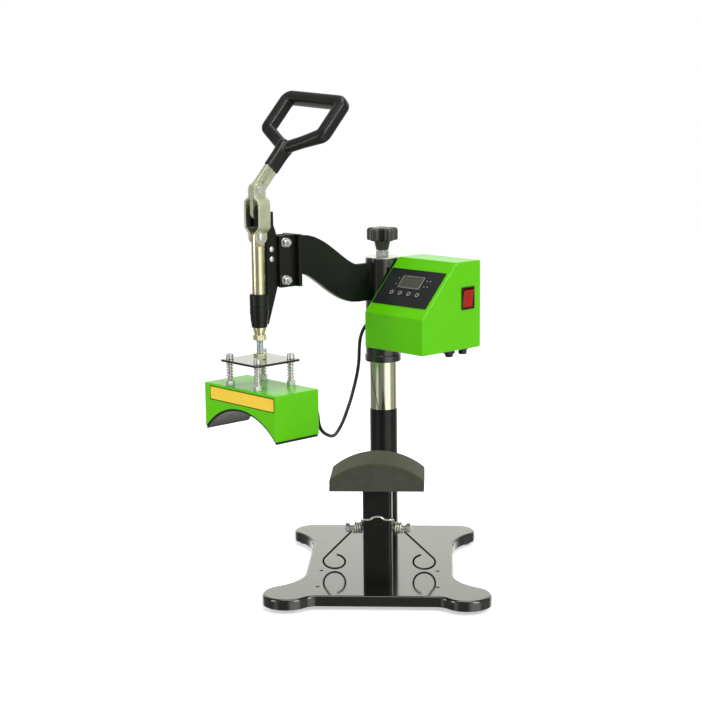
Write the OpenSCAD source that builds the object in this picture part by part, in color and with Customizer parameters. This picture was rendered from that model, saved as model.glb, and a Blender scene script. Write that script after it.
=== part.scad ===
/* [Base] */
// Half width of the base across its front lobes
base_front_x = 142; // [136:1:148]
// Radius of the front lobes
front_lobe_r = 40; // [37:1:43]
// Half distance between the centres of the rear lobes
base_rear_x = 128; // [123:1:132]
// Radius of the rear lobes
rear_lobe_r = 34; // [31:1:36]
// Half width of the straight waist of the base
waist_x = 122; // [116:1:126]
// Distance from the work centre to the straight front edge
base_front = 90; // [86:1:96]
// Distance from the work centre to the rear edge
base_rear = 318; // [312:1:330]
// Thickness of the base sheet
base_sheet = 3; // [2:0.25:3.5]
// Height of the folded rim, top face to lower edge
rim_h = 17; // [14:0.5:19]
// Spacing of the base's four bolt holes, across
bolt_dx = 192; // [180:1:200]
// Spacing of the base's four bolt holes, front to back
bolt_dy = 84; // [80:1:90]
// Diameter of the base's bolt holes
bolt_hole_d = 6.6; // [5.5:0.1:9]

/* [Feet] */
// Diameter of a rubber foot at its top
foot_d = 32; // [28:0.5:33]
// Height of a foot below the base sheet
foot_h = 21; // [18.5:0.5:24]
// Half distance between the front feet
foot_front_x = 150; // [145:1:154]
// Half distance between the rear feet
foot_rear_x = 139; // [136:1:141]

/* [Platen stand] */
// Width of the stand's square tube
post_w = 46; // [42:1:50]
// Depth of the stand's square tube
post_d = 60; // [54:1:62]
// Wall of the stand's square tube
post_wall = 3; // [2:0.25:4]
// Height of the platen's flat underside above the base
platen_z = 158; // [150:1:166]
// Width of the lower platen
platen_w = 150; // [144:1:154]
// Depth of the lower platen
platen_d = 92; // [86:1:98]
// Outside radius of the curved pad, which sets the cap's curve
platen_r = 116; // [112:1:120]
// Height of the pad's crown above the platen's underside
crown_h = 45.5; // [43:0.5:48]
// Thickness of the silicone pad
pad_t = 8; // [6:0.5:9]

/* [Cap clip] */
// Height of the clip's pivot above the base
clip_z = 86; // [80:1:92]
// Thickness of the clip wire
wire_d = 3.2; // [2.8:0.1:3.6]
// Mean radius of the clip's spring coils
clip_coil_r = 8; // [7.4:0.1:9]
// Turns in each spring coil
clip_turns = 3.5; // [2.5:1:3.5]
// Radius of the end loops, to the middle of the wire
clip_loop_r = 18; // [15:0.5:20]

/* [Column] */
// Distance from the work centre back to the swing axis
reach = 280; // [272:1:290]
// Diameter of the column
column_d = 48; // [46:0.5:50]
// Top of the black lower part of the column
column_split_z = 225; // [210:1:235]
// Top of the column inside the swing tube
column_top_z = 480; // [476:1:481]
// Outside diameter of the swing tube
tube_d = 60; // [58:0.5:60.5]
// Lower end of the swing tube
tube_z = 311; // [300:1:320]
// Thickness of the washer between the column's top and the swing tube's cap
washer_t = 5.7; // [4:0.1:8]
// Wall of the two bushes between column and swing tube
bush_wall = 3; // [2:0.25:3.5]

/* [Swing head] */
// Angle of the head away from the work centre
swing_rest = 44; // [36:1:52]
// Height of the arm plate
arm_h = 65; // [58:1:68]
// Thickness of the arm plate
arm_t = 10; // [8:0.5:12]
// Middle height of the arm at the column
arm_low_z = 454; // [448:1:460]
// Rise of the arm from the column to the head
arm_rise = 60; // [50:1:62]
// Thickness of the clamp bracket's steel
bracket_t = 5; // [4:0.25:6]
// Height of the clamp bracket
bracket_h = 86; // [82:1:90]

/* [Toggle clamp] */
// Height of the handle's fixed pivot
pivot_z = 590; // [588:1:592]
// Crank, from the fixed pivot to the links' upper pin
crank = 36; // [35.5:0.1:37]
// Length of the side links between their pins
link_len = 76; // [75.4:0.1:77]
// Diameter of the plunger
plunger_d = 22; // [20:0.5:23]
// Width of the steel handle bar
bar_w = 24; // [22:0.5:25]
// Thickness of the steel handle bar
bar_t = 8; // [7:0.25:8.5]
// Lean of the handle behind upright
handle_lean = 43; // [38:1:48]
// Width of the looped grip, outside
grip_w = 145; // [136:1:152]
// Height of the straight sides of the grip, outside
grip_side = 85; // [78:1:90]
// Width of the grip's bars, seen from the front
grip_bar = 18; // [15:0.5:20]
// Thickness of the grip's bars, front to back
grip_thick = 22; // [19:0.5:24]
// Turn of the looped grip about its neck
grip_twist = 6; // [0:1:14]
// Diameter of the pressure stud
stud_d = 12; // [10:0.5:12.5]

/* [Heating head] */
// Length of the heater housing, along the arch
heater_w = 184; // [178:1:190]
// Depth of the heater housing
heater_d = 92; // [88:1:96]
// Top face of the heater housing
heater_top = 305; // [302:1:308]
// Height of the heater housing to its corner edges
heater_h = 78.5; // [76.5:0.5:80.5]
// Sheet of the heater housing
heater_sheet = 1.5; // [1:0.25:2]
// Inside radius of the heating platen
arch_r = 117; // [115:0.5:119]
// Thickness of the curved heating platen
arch_t = 10; // [8:0.5:11]
// Side of the square spring plate
spring_plate_w = 92; // [88:1:96]
// Thickness of the square spring plate
spring_plate_t = 4; // [3:0.25:5]
// Top of the square spring plate
spring_plate_top = 349; // [346:1:351]
// Half pitch of the four guide bolts
guide_x = 35.5; // [34:0.5:37]
// Diameter of the guide bolts
guide_d = 8; // [7:0.5:8.5]
// Wire of the head springs
spring_wire = 1.6; // [1.4:0.1:1.8]
// Outside diameter of the head springs
spring_d = 13; // [12.6:0.1:14]
// Turns of each head spring
spring_turns = 6; // [5:1:6]

/* [Control box] */
// Width of the control box
box_w = 139; // [136:1:146]
// Depth of the control box
box_d = 141; // [136:1:146]
// Height of the control box
box_h = 149; // [146:1:152]
// Height of the upright front below the sloping panel
box_front_h = 61; // [56:1:64]
// Depth of the sloping panel, from front to top edge
slope_d = 82; // [78:1:86]
// Lower edge of the control box
box_z = 347; // [343:1:351]
// Steel sheet of the control box
box_sheet = 1.5; // [1:0.25:2]
// Pitch of the four keys
key_pitch = 20.3; // [18:0.1:22]
// Diameter of a key
key_d = 11; // [9:0.5:12]

/* [Knob] */
// Diameter of the star knob over its lobes
knob_d = 56; // [50:1:60]
// Thickness of the knob's star
knob_h = 22; // [18:0.5:24]

/* [Hidden] */
$fn = 64;
e = 0.01;
run = 0.05;
slip = 0.3;
table_z = -base_sheet - foot_h;

// Clearances and sizes of the column's fits
shaft_r = column_d / 2;
spigot_r = shaft_r - 5;
bush_r = shaft_r + run;
tube_r = tube_d / 2;
tube_bore_r = bush_r + bush_wall;
bush_len = 30;
cap_t = 7;
cap_z = column_top_z + washer_t + slip;
tube_top = cap_z + cap_t;
knob_stud_r = 6;
knob_z = tube_top + 30;

// Places in the swing frame, which has the column's axis at its origin and the arm towards -Y
head_y = -reach;
bracket_y0 = 36;
bracket_y1 = 70;
wing_half = 6;
bracket_mid = arm_low_z + arm_rise - 7;
web_half = 20;
web_t = 7;
arm_y1 = head_y + bracket_y1 + web_t;
bracket_bolt_y = 48;
bracket_bolt_dz = 31;
bracket_bolt_r = 4;

// Toggle clamp
plunger_r = plunger_d / 2;
plunger_pivot_z = pivot_z + crank - link_len;
upper_z = pivot_z + crank;
plunger_flat = 6;
plunger_tip_z = 390;
barrel_z0 = 402;
barrel_z1 = 457;
barrel_r = 15.5;
link_t = 4;
link_w = 24;
link_low_x = plunger_flat + slip;
link_top_x = bar_t / 2 + 0.6;
link_mid_x = 15.5;
ear_in = bar_t / 2 + 0.6;
ear_out = 12.5;
pin_r = 5;
rivet_r = 4;

// Grip
bar_end = 95;
grip_start = 44;
grip_apex = 80;
grip_low = 117;
grip_top = grip_low + grip_side;
grip_neck = 28;
core_band = 5;
core_thick = 14;
function house(x, apex, low, top) = [[0, apex], [x, low], [x, top], [-x, top], [-x, low]];
grip_outer = house(grip_w / 2, grip_apex, grip_low, grip_top);
grip_inner = house(grip_w / 2 - grip_bar, grip_apex + 13, grip_low + 10, grip_top - grip_bar);
core_mid = house((grip_w - grip_bar) / 2, grip_apex + 6.5, grip_low + 5, grip_top - grip_bar / 2);

// Heater
heater_bot = heater_top - heater_h;
arch_cz = heater_bot - 2 - sqrt(pow(arch_r, 2) - pow(heater_w / 2 - 2, 2));
cup_h = 9;
spring_z0 = heater_top + cup_h;
spring_z1 = spring_plate_top - spring_plate_t;
guide_r = guide_d / 2;
guide_z0 = arch_cz + sqrt(pow(arch_r + arch_t, 2) - pow(guide_x, 2)) - 8;
element_t = 4;
wool_t = 12;

// Control box, in the swing frame
box_x0 = tube_r + 2;
box_x1 = box_x0 + box_w;
box_y0 = -box_d / 2 - 3.5;
box_y1 = box_y0 + box_d;
box_top = box_z + box_h;
slope_a = atan2(box_h - box_front_h, slope_d);
panel_w = 127;
panel_h = 73;
panel_t = 1.2;
panel_y = 23;
window_w = 48;
window_h = 22.5;
window_x = 43;
window_y = 58.5;
key_y = 45.4;
key_x0 = 36.5;
rocker_y = box_y1 - 32.5;
rocker_z = box_z + 87;
rocker_w = 24;
rocker_h = 31;
rocker_tilt = 8;
gland_box = [box_x0, 48, 394];
gland_heater = [60, head_y + heater_d / 2, heater_top - 41];
gland_len = 14;
gland_box_len = 12;
cable_d = 6;

// Route of the heater cable in the swing frame, gland to gland
cable_drop = [
    [0, run, 0], [0, 3, 0], [0, 6, -1], [0.2, 10, -3.8], [0.6, 13.5, -8.5],
    [1, 15.5, -15], [1, 17.5, -22], [0, 21.5, -29], [-1.5, 26.5, -36]
];
cable_route = concat([for (p = cable_drop) gland_heater + [0, gland_len, 0] + p], [
    [54, -184, 220], [45, -170, 211],
    [36, -156, 205], [27, -142, 203], [17, -126, 205], [8, -110, 211], [0, -95, 220],
    [-8, -80, 232], [-16, -65, 245], [-24, -51, 259], [-31, -38, 275], [-36, -28, 292],
    [-40, -21, 310], [-43, -17, 329], [-44, -13, 348], [-43, -4, 365], [-38, 9, 378],
    [-29, 24, 387], [-17, 36, 392], [-5, 44, 394], [4, 47.5, 394], [12, 48, 394], [20, 48, 394]
]);

// Cap clip, laid out in the plane of its arms
clip_end = [45, wire_d / 2 + 0.2];
clip_reach = norm([clip_end[0], clip_z - clip_end[1]]);
clip_a = atan2(clip_end[0], clip_z - clip_end[1]) + asin(clip_coil_r / clip_reach);
clip_len = sqrt(pow(clip_reach, 2) - pow(clip_coil_r, 2));
clip_pitch = wire_d + 0.6;
clip_x0 = post_w / 2 + wire_d / 2 + 1.2;
clip_x1 = clip_x0 + clip_turns * clip_pitch;
clip_arm_x = clip_x1 + wire_d + 0.3;
clip_loop_x = 74;
clip_loop_s = clip_len - clip_loop_r - wire_d / 2;
clip_d = norm([clip_loop_x - clip_arm_x, clip_loop_s]);
clip_arm_a = atan2(clip_loop_x - clip_arm_x, clip_loop_s) + asin(clip_loop_r / clip_d);
clip_arm_len = sqrt(pow(clip_d, 2) - pow(clip_loop_r, 2));
rod_r = 4;

// Vector helpers
function unit(v) = v / norm(v);
function lerp(a, b, u) = a + (b - a) * u;
function flat(lists) = [for (l = lists) for (p = l) p];
function reversed(p) = [for (i = [len(p) - 1:-1:0]) p[i]];

// Points of an arc, from angle a0 to angle a1
function arc(c, r, a0, a1, n) = [
    for (i = [0:n]) c + r * [cos(lerp(a0, a1, i / n)), sin(lerp(a0, a1, i / n))]
];

// The same arc without its first point, to follow another arc that ends there
function arc_on(c, r, a0, a1, n) = [
    for (i = [1:n]) c + r * [cos(lerp(a0, a1, i / n)), sin(lerp(a0, a1, i / n))]
];

// Moves the corners of a convex or mild outline outwards by d, for an outline that runs anticlockwise
function grown(pts, d) = [
    for (i = [0:len(pts) - 1])
        let (
            a = unit(pts[i] - pts[(i + len(pts) - 1) % len(pts)]),
            b = unit(pts[(i + 1) % len(pts)] - pts[i]),
            na = [a[1], -a[0]],
            nb = [b[1], -b[0]]
        )
        pts[i] + d * (na + nb) / (1 + na * nb)
];

// Rounds each corner of an outline by radius r with n steps
function rounded(pts, r, n) = flat([
    for (i = [0:len(pts) - 1])
        let (
            p = pts[i],
            a = unit(pts[(i + len(pts) - 1) % len(pts)] - p),
            b = unit(pts[(i + 1) % len(pts)] - p),
            half = acos(a * b) / 2,
            c = p + unit(a + b) * r / sin(half),
            pa = p + a * r / tan(half) - c,
            pb = p + b * r / tan(half) - c,
            a0 = atan2(pa[1], pa[0]),
            turn = atan2(pa[0] * pb[1] - pa[1] * pb[0], pa * pb)
        )
        arc(c, r, a0, a0 + turn, n)
]);

// Frames carried along a path without twist, one normal for each point
function tangent(p, i) =
    unit(p[min(i + 1, len(p) - 1)] - p[max(i - 1, 0)]);
function carried(n, t) = unit(n - t * (n * t));
function normals(p, up, i = 0, done = []) =
    i == len(p) ? done
    : let (n = carried(i == 0 ? up : done[i - 1], tangent(p, i))) normals(p, up, i + 1, concat(done, [n]));

// A tube of n sides along a path
module tube_along(path, r, up, n) {
    ns = normals(path, up);
    rings = [
        for (i = [0:len(path) - 1])
            let (t = tangent(path, i), b = cross(t, ns[i]))
            [for (k = [0:n - 1]) path[i] + r * (ns[i] * cos(360 * k / n) + b * sin(360 * k / n))]
    ];
    loft(rings);
}

// Closed solid through rings of equal length
module loft(rings) {
    n = len(rings[0]);
    m = len(rings);
    polyhedron(
        points = flat(rings),
        faces = concat(
            [[for (k = [0:n - 1]) k]],
            [[for (k = [n - 1:-1:0]) (m - 1) * n + k]],
            flat([
                for (i = [0:m - 2]) flat([
                    for (k = [0:n - 1])
                        let (a = i * n + k, b = i * n + (k + 1) % n)
                        [[a, b + n, b], [a, a + n, b + n]]
                ])
            ])
        ),
        convexity = 10
    );
}

// Least distance between turns of a path that lie more than a given number of points apart
function least_gap(p, apart, d) =
    min([for (i = [0:len(p) - 1]) for (j = [i + apart:1:len(p) - 1]) norm(p[i] - p[j])]) - d;

module swung() {
    translate([0, reach, 0]) rotate([0, 0, -swing_rest]) children();
}

module head() {
    swung() translate([0, head_y, 0]) children();
}

// Extrudes an outline drawn in Y and Z along X, centred on x
module profile_x(x, w) {
    translate([x - w / 2, 0, 0]) rotate([90, 0, 90]) linear_extrude(w) children();
}

module plate(x, y, z0, z1) {
    translate([-x / 2, -y / 2, z0]) cube([x, y, z1 - z0]);
}

module rod_z(r, z0, z1) {
    translate([0, 0, z0]) cylinder(r = r, h = z1 - z0);
}

module rod_x(r, x0, x1) {
    translate([x0, 0, 0]) rotate([0, 90, 0]) cylinder(r = r, h = x1 - x0);
}

module hex_z(af, z0, z1) {
    translate([0, 0, z0]) cylinder(d = af / cos(30), h = z1 - z0, $fn = 6);
}

module hex_x(af, x0, x1) {
    translate([x0, 0, 0]) rotate([0, 90, 0]) cylinder(d = af / cos(30), h = x1 - x0, $fn = 6);
}

module four(x, y) {
    for (sx = [-1, 1]) for (sy = [-1, 1]) translate([sx * x, sy * y, 0]) children();
}

module soft_rect(w, d, r) {
    union() {
        square([w - 2 * r, d], center = true);
        square([w, d - 2 * r], center = true);
        for (sx = [-1, 1]) for (sy = [-1, 1]) translate([sx * (w / 2 - r), sy * (d / 2 - r)]) circle(r);
    }
}

// Centres of the base's round lobes and of the hollows between them
fillet_front = 26;
fillet_low = 80;
fillet_high = 100;
lobe_front = [base_front_x, -base_front + front_lobe_r - 22];
lobe_rear = [base_rear_x, base_rear - rear_lobe_r];
front_fillet = [
    lobe_front[0] - sqrt(
        pow(fillet_front + front_lobe_r, 2) - pow(-base_front - fillet_front - lobe_front[1], 2)
    ),
    -base_front - fillet_front
];
low_fillet = [
    waist_x + fillet_low,
    lobe_front[1] + sqrt(pow(fillet_low + front_lobe_r, 2) - pow(waist_x + fillet_low - lobe_front[0], 2))
];
high_fillet = [
    waist_x + fillet_high,
    lobe_rear[1] - sqrt(pow(fillet_high + rear_lobe_r, 2) - pow(waist_x + fillet_high - lobe_rear[0], 2))
];
function heading(a, b) = atan2(b[1] - a[1], b[0] - a[0]);

// Right half of the base's outline, drawn in by d, from the front edge to the rear edge
function half_outline(d) = concat(
    arc(front_fillet, fillet_front + d, 90, heading(front_fillet, lobe_front), 6),
    arc_on(
        lobe_front, front_lobe_r - d, heading(lobe_front, front_fillet), heading(lobe_front, low_fillet), 18
    ),
    arc_on(low_fillet, fillet_low + d, heading(low_fillet, lobe_front) + 360, 180, 8),
    arc(high_fillet, fillet_high + d, 180, heading(high_fillet, lobe_rear), 8),
    arc_on(lobe_rear, rear_lobe_r - d, heading(lobe_rear, high_fillet), 90, 14)
);
function base_outline(d) = concat(half_outline(d), [for (p = reversed(half_outline(d))) [-p[0], p[1]]]);

module at_feet() {
    for (s = [-1, 1]) {
        translate([s * foot_front_x, lobe_front[1], 0]) children();
        translate([s * foot_rear_x, lobe_rear[1], 0]) children();
    }
}

module base_plate() color([0.11, 0.12, 0.11]) difference() {
    translate([0, 0, -rim_h]) linear_extrude(rim_h) polygon(base_outline(0));
    translate([0, 0, -rim_h - 1]) linear_extrude(rim_h + 1 - base_sheet) polygon(base_outline(base_sheet));
    four(bolt_dx / 2, bolt_dy / 2) rod_z(bolt_hole_d / 2, -base_sheet - 1, 1);
}

foot_nut_af = 8;
foot_nut_h = 4;
module rubber_feet() color([0.08, 0.08, 0.08]) at_feet() difference() {
    translate([0, 0, table_z]) cylinder(r1 = foot_d / 2 - 2, r2 = foot_d / 2, h = foot_h);
    rod_z(2.8, table_z - 1, 0);
    rod_z(6.5, table_z - 1, table_z + 8);
    rod_z(foot_nut_af / 2 / cos(30) + 0.3, -base_sheet - foot_nut_h - 0.3, 0);
}

module foot_screws() color([0.72, 0.73, 0.76]) at_feet() {
    rod_z(2.5, table_z + 7, -base_sheet - 0.5);
    rod_z(4.6, table_z + 4.5, table_z + 7.9);
    difference() {
        hex_z(foot_nut_af, -base_sheet - foot_nut_h, -base_sheet);
        rod_z(2.5 + run, -base_sheet - foot_nut_h - 1, 0);
    }
}

post_r = 5;
module platen_post() color([0.1, 0.11, 0.1]) difference() {
    linear_extrude(platen_z) soft_rect(post_w, post_d, post_r);
    translate([0, 0, -1]) linear_extrude(platen_z - 5)
        soft_rect(post_w - 2 * post_wall, post_d - 2 * post_wall, 2);
    for (s = [-1, 1]) translate([0, s * post_d / 4, 0]) rod_z(4.3, platen_z - 10, platen_z + 1);
    translate([0, 0, clip_z]) rod_x(rod_r + run, -post_w, post_w);
}

form_r = platen_r - pad_t;
form_cz = platen_z + crown_h - platen_r;
module arch_solid(w, d, r, cz, z0) {
    intersection() {
        translate([0, d / 2, cz]) rotate([90, 0, 0]) cylinder(r = r, h = d, $fn = 128);
        plate(w, d, z0, cz + r + 1);
    }
}

// Cast form: curved crown, flat rim, and a hollow with ribs below
module platen_form() color([0.27, 0.28, 0.25]) difference() {
    arch_solid(platen_w, platen_d, form_r, form_cz, platen_z);
    difference() {
        translate([0, 0, -1]) arch_solid(platen_w - 12, platen_d - 12, form_r - 5, form_cz, platen_z);
        plate(post_w + 10, post_d + 10, platen_z - 2, platen_z + 14);
        for (x = [-platen_w / 4 - 8, platen_w / 4 + 8])
            translate([x, 0, 0]) plate(5, platen_d, platen_z - 2, platen_z + 60);
        plate(platen_w, 5, platen_z - 2, platen_z + 60);
    }
    for (s = [-1, 1]) translate([0, s * post_d / 4, 0]) rod_z(4 + run, platen_z - 1, platen_z + 12);
}

module platen_pad() color([0.33, 0.34, 0.27]) difference() {
    arch_solid(platen_w, platen_d, platen_r, form_cz, form_cz + sqrt(pow(form_r, 2) - pow(platen_w / 2, 2)));
    translate([0, platen_d / 2 + 1, form_cz]) rotate([90, 0, 0])
        cylinder(r = form_r, h = platen_d + 2, $fn = 128);
}

module platen_bolts() color([0.75, 0.76, 0.78]) for (s = [-1, 1]) translate([0, s * post_d / 4, 0]) {
    rod_z(4, platen_z - 6, platen_z + 11);
    hex_z(13, platen_z - 11.3, platen_z - 6);
}

module clip_pivot_rod() color([0.76, 0.77, 0.8]) translate([0, 0, clip_z]) {
    rod_x(rod_r, -clip_arm_x - 11, clip_arm_x + 11);
    for (s = [0, 1]) mirror([s, 0, 0]) {
        difference() {
            rod_x(6.3, clip_arm_x + 2.4, clip_arm_x + 4);
            rod_x(rod_r + run, clip_arm_x, clip_arm_x + 5);
        }
        difference() {
            hex_x(13, clip_arm_x + 4.1, clip_arm_x + 10);
            rod_x(rod_r + run, clip_arm_x, clip_arm_x + 12);
        }
    }
}

// One wire: left coil, across the front of the post with a thumb hump, right coil
coil_steps = 8;
function coil_point(x, a) = [x, clip_coil_r * cos(a), clip_z + clip_coil_r * sin(a)];
function clip_coil(a0) = [
    for (i = [0:clip_turns * coil_steps])
        coil_point(clip_x1 - i * clip_pitch / coil_steps, a0 + i * 360 / coil_steps)
];
coil_start = clip_a - 180;
bar_front = -post_d / 2 - wire_d / 2 - slip;
bar_z = clip_z + 22;
coil_run = clip_coil(coil_start);
function clip_lead() = [
    [clip_x0 - 0.6, bar_front * 0.55, clip_z + 17],
    [clip_x0 - 1.5, bar_front + 4, clip_z + 20.5],
    [clip_x0 - 5, bar_front, bar_z]
];
hump = [[14, 0], [10, 1.2], [6, 4], [2, 5]];
function clip_half() = concat(coil_run, clip_lead(), [for (h = hump) [h[0], bar_front, bar_z + h[1]]]);
function mirrored(p) = [for (i = [len(p) - 1:-1:0]) [-p[i][0], p[i][1], p[i][2]]];
clip_path = concat(clip_half(), mirrored(clip_half()));
echo(clip_gap = least_gap(coil_run, coil_steps - 1, wire_d));
module clip_springs() color([0.78, 0.76, 0.68])
    tube_along(clip_path, wire_d / 2, [1, 0, 0], 6);

// Arms and open end loops, drawn in the plane that leans back from the coils
module clip_arm() {
    rod_z(wire_d / 2, 0, clip_arm_len);
}

module clip_arms() color([0.3, 0.29, 0.26])
    translate([0, -clip_coil_r * cos(clip_a), clip_z - clip_coil_r * sin(clip_a)])
    rotate([clip_a, 0, 0]) mirror([0, 0, 1]) for (s = [0, 1]) mirror([s, 0, 0]) {
        translate([clip_arm_x, 0, 0]) rotate([0, clip_arm_a, 0]) clip_arm();
        translate([clip_arm_x, 0, 0]) sphere(wire_d / 2);
        translate([clip_loop_x, 0, clip_loop_s]) rotate([90, 0, 0]) rotate([0, 0, -clip_arm_a])
            rotate_extrude(angle = 290) translate([clip_loop_r, 0]) circle(wire_d / 2);
    }

module column_tube() color([0.1, 0.11, 0.1]) translate([0, reach, 0]) difference() {
    union() {
        rod_z(shaft_r, 0, column_split_z);
        cylinder(r1 = shaft_r + 5, r2 = shaft_r, h = 5);
    }
    rod_z(spigot_r + run, -1, column_split_z + 1);
}

module column_shaft() color([0.82, 0.82, 0.8]) translate([0, reach, 0]) difference() {
    union() {
        rod_z(shaft_r, column_split_z, column_top_z - 2);
        translate([0, 0, column_top_z - 2]) cylinder(r1 = shaft_r, r2 = shaft_r - 2, h = 2);
        rod_z(spigot_r, column_split_z - 80, column_split_z + 1);
    }
    rod_z(knob_stud_r, column_top_z - 45, column_top_z + 1);
}

module thrust_washer() color([0.9, 0.89, 0.82]) translate([0, reach, 0]) difference() {
    rod_z(shaft_r - 1.5, column_top_z, column_top_z + washer_t);
    rod_z(knob_stud_r + 1, column_top_z - 1, cap_z);
}

module swing_tube() color([0.09, 0.1, 0.09]) swung() difference() {
    union() {
        rod_z(tube_r, tube_z, tube_top);
        rod_z(tube_r + 1.5, tube_z, tube_z + 12);
    }
    rod_z(tube_bore_r, tube_z - 1, tube_top + 1);
}

module swing_bushes() color([0.72, 0.55, 0.25]) swung()
    for (z = [tube_z, column_top_z - bush_len - 3]) difference() {
        rod_z(tube_bore_r - run / 2, z, z + bush_len);
        rod_z(bush_r, z - 1, z + bush_len + 1);
    }

module tube_cap() color([0.8, 0.8, 0.78]) swung() difference() {
    union() {
        rod_z(tube_bore_r - run / 2, cap_z, tube_top);
        rod_z(tube_r - 0.5, tube_top, tube_top + 1.6);
    }
    rod_z(knob_stud_r + 2, cap_z - 1, tube_top + 3);
}

// The arm is one plate whose middle line eases from the column's height to the head's
arm_s0 = -tube_r - 32;
arm_s1 = arm_y1 + 13;
function arm_mid(u) = [lerp(arm_s0, arm_s1, u), arm_low_z + arm_rise * u * u * (3 - 2 * u)];
function arm_slope(u) = atan2(arm_rise * 6 * u * (1 - u), arm_s0 - arm_s1);
function arm_edge(side) = [
    for (u = [0:1/14:1.001]) arm_mid(u) + side * arm_h / 2 * [sin(arm_slope(u)), cos(arm_slope(u))]
];
module swing_arm() color([0.09, 0.1, 0.09]) swung() difference() {
    profile_x(0, arm_t) polygon(concat(
        [[-tube_r + 5, arm_low_z + arm_h / 2]],
        arm_edge(1),
        [[arm_y1, arm_low_z + arm_rise + arm_h / 2], [arm_y1, arm_low_z + arm_rise - arm_h / 2]],
        reversed(arm_edge(-1)),
        [[-tube_r + 5, arm_low_z - arm_h / 2]]
    ));
    rod_z(tube_r, tube_z, tube_top);
}

module at_bracket_bolts() {
    for (s = [-1, 1]) translate([0, bracket_bolt_y, bracket_mid + s * bracket_bolt_dz]) children();
}

bracket_in = wing_half + slip;
module arm_bracket() color([0.1, 0.11, 0.1]) head() difference() {
    union() {
        for (s = [-1, 1])
            profile_x(s * (bracket_in + bracket_t / 2), bracket_t)
                translate([(bracket_y0 + bracket_y1) / 2, bracket_mid])
                soft_rect(bracket_y1 - bracket_y0 + e, bracket_h, 3);
        profile_x(0, 2 * web_half)
            translate([bracket_y1 - 4, bracket_mid - bracket_h / 2]) square([web_t + 4, bracket_h]);
    }
    profile_x(0, 2 * bracket_in) translate([0, bracket_mid - bracket_h]) square([bracket_y1, 2 * bracket_h]);
    for (s = [-1, 1])
        profile_x(s * (bracket_in + bracket_t + 20), 40)
            translate([0, bracket_mid - bracket_h]) square([bracket_y1, 2 * bracket_h]);
    at_bracket_bolts() rod_x(bracket_bolt_r + 0.1, -30, 30);
}

module bracket_bolts() color([0.85, 0.86, 0.88]) head() at_bracket_bolts() {
    x = bracket_in + bracket_t;
    rod_x(bracket_bolt_r, -x, x + 13);
    hex_x(13, -x - 5.3, -x);
    difference() {
        rod_x(8, x, x + 1.5);
        rod_x(bracket_bolt_r + run, x - 1, x + 3);
    }
    difference() {
        hex_x(13, x + 1.6, x + 8.2);
        rod_x(bracket_bolt_r + run, x, x + 10);
    }
}

// Two pressed halves: wing, ears round the tail of the handle, and a stop block below it
wing_outline = [
    [12, barrel_z0 + 2], [15, barrel_z0 + 3], [34, bracket_mid - bracket_h / 2 - 3],
    [36, bracket_mid - bracket_h / 2 + 3], [bracket_y1 - 3, bracket_mid - bracket_h / 2 + 5],
    [bracket_y1 - 3, bracket_mid + bracket_h / 2 - 3], [36, bracket_mid + bracket_h / 2],
    [34, pivot_z - 33], [19, pivot_z + 3], [plunger_r + 2.5, pivot_z + 3], [plunger_r + 2.5, barrel_z1 + 2],
    [12, barrel_z1 - 1]
];
module clamp_half() difference() {
    union() {
        profile_x(wing_half / 2 + 0.05, wing_half - 0.1) polygon(wing_outline);
        profile_x((ear_in + ear_out) / 2, ear_out - ear_in) union() {
            translate([0, pivot_z]) circle(12);
            translate([-11, pivot_z - 23]) square([34, 23]);
        }
        profile_x(ear_in / 2 + 0.3, ear_in - 0.4) translate([5, pivot_z - 23]) square([19, 6]);
    }
    translate([0, 0, pivot_z]) rod_x(pin_r, 0, 40);
    translate([0, 0, barrel_z0 - 10]) cylinder(r = barrel_r + 0.1, h = barrel_z1 - barrel_z0 + 10.1);
    at_bracket_bolts() rod_x(bracket_bolt_r + 0.1, -30, 30);
    for (z = [bracket_mid + 5, bracket_mid + 21]) translate([0, 24, z]) rod_x(3.2, -20, 20);
    profile_x(20 + ear_in, 40 - e) translate([24, pivot_z - 40]) square([30, 60]);
}

module clamp_frame() color([0.1, 0.11, 0.1]) head() {
    clamp_half();
    mirror([1, 0, 0]) clamp_half();
}

module guide_barrel() color([0.12, 0.12, 0.12]) head() rotate_extrude() polygon([
    [plunger_r + run, barrel_z0], [barrel_r - 3, barrel_z0], [barrel_r - 2, barrel_z0 + 2],
    [barrel_r - 0.8, barrel_z0 + 22], [barrel_r, barrel_z0 + 23], [barrel_r, barrel_z1 - 2],
    [barrel_r - 1.5, barrel_z1], [plunger_r + run, barrel_z1]
]);

module frame_pin() color([0.85, 0.86, 0.88]) head() translate([0, 0, pivot_z]) {
    rod_x(pin_r - run / 2, -ear_out - 0.4, ear_out + 0.4);
    for (s = [0, 1]) mirror([s, 0, 0]) rod_x(7, ear_out + 0.1, ear_out + 2.4);
}

slope_foot = [box_y0, box_z + box_front_h];
slope_head = [box_y0 + slope_d, box_top];
box_side = [
    [box_y0, box_z], [box_y1, box_z], [box_y1, box_top], slope_head, slope_foot
];
module on_slope() {
    translate([box_x0, slope_foot[0], slope_foot[1]]) rotate([slope_a, 0, 0]) children();
}

module at_keys() {
    for (i = [0:3]) on_slope() translate([key_x0 + i * key_pitch, key_y, 0]) children();
}

screw_inset = 11;
module at_box_screws() {
    for (x = [box_x0 + screw_inset, box_x1 - screw_inset]) for (z = [box_z + 14, box_top - 14])
        translate([x, box_y1, z]) rotate([-90, 0, 0]) children();
}

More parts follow.
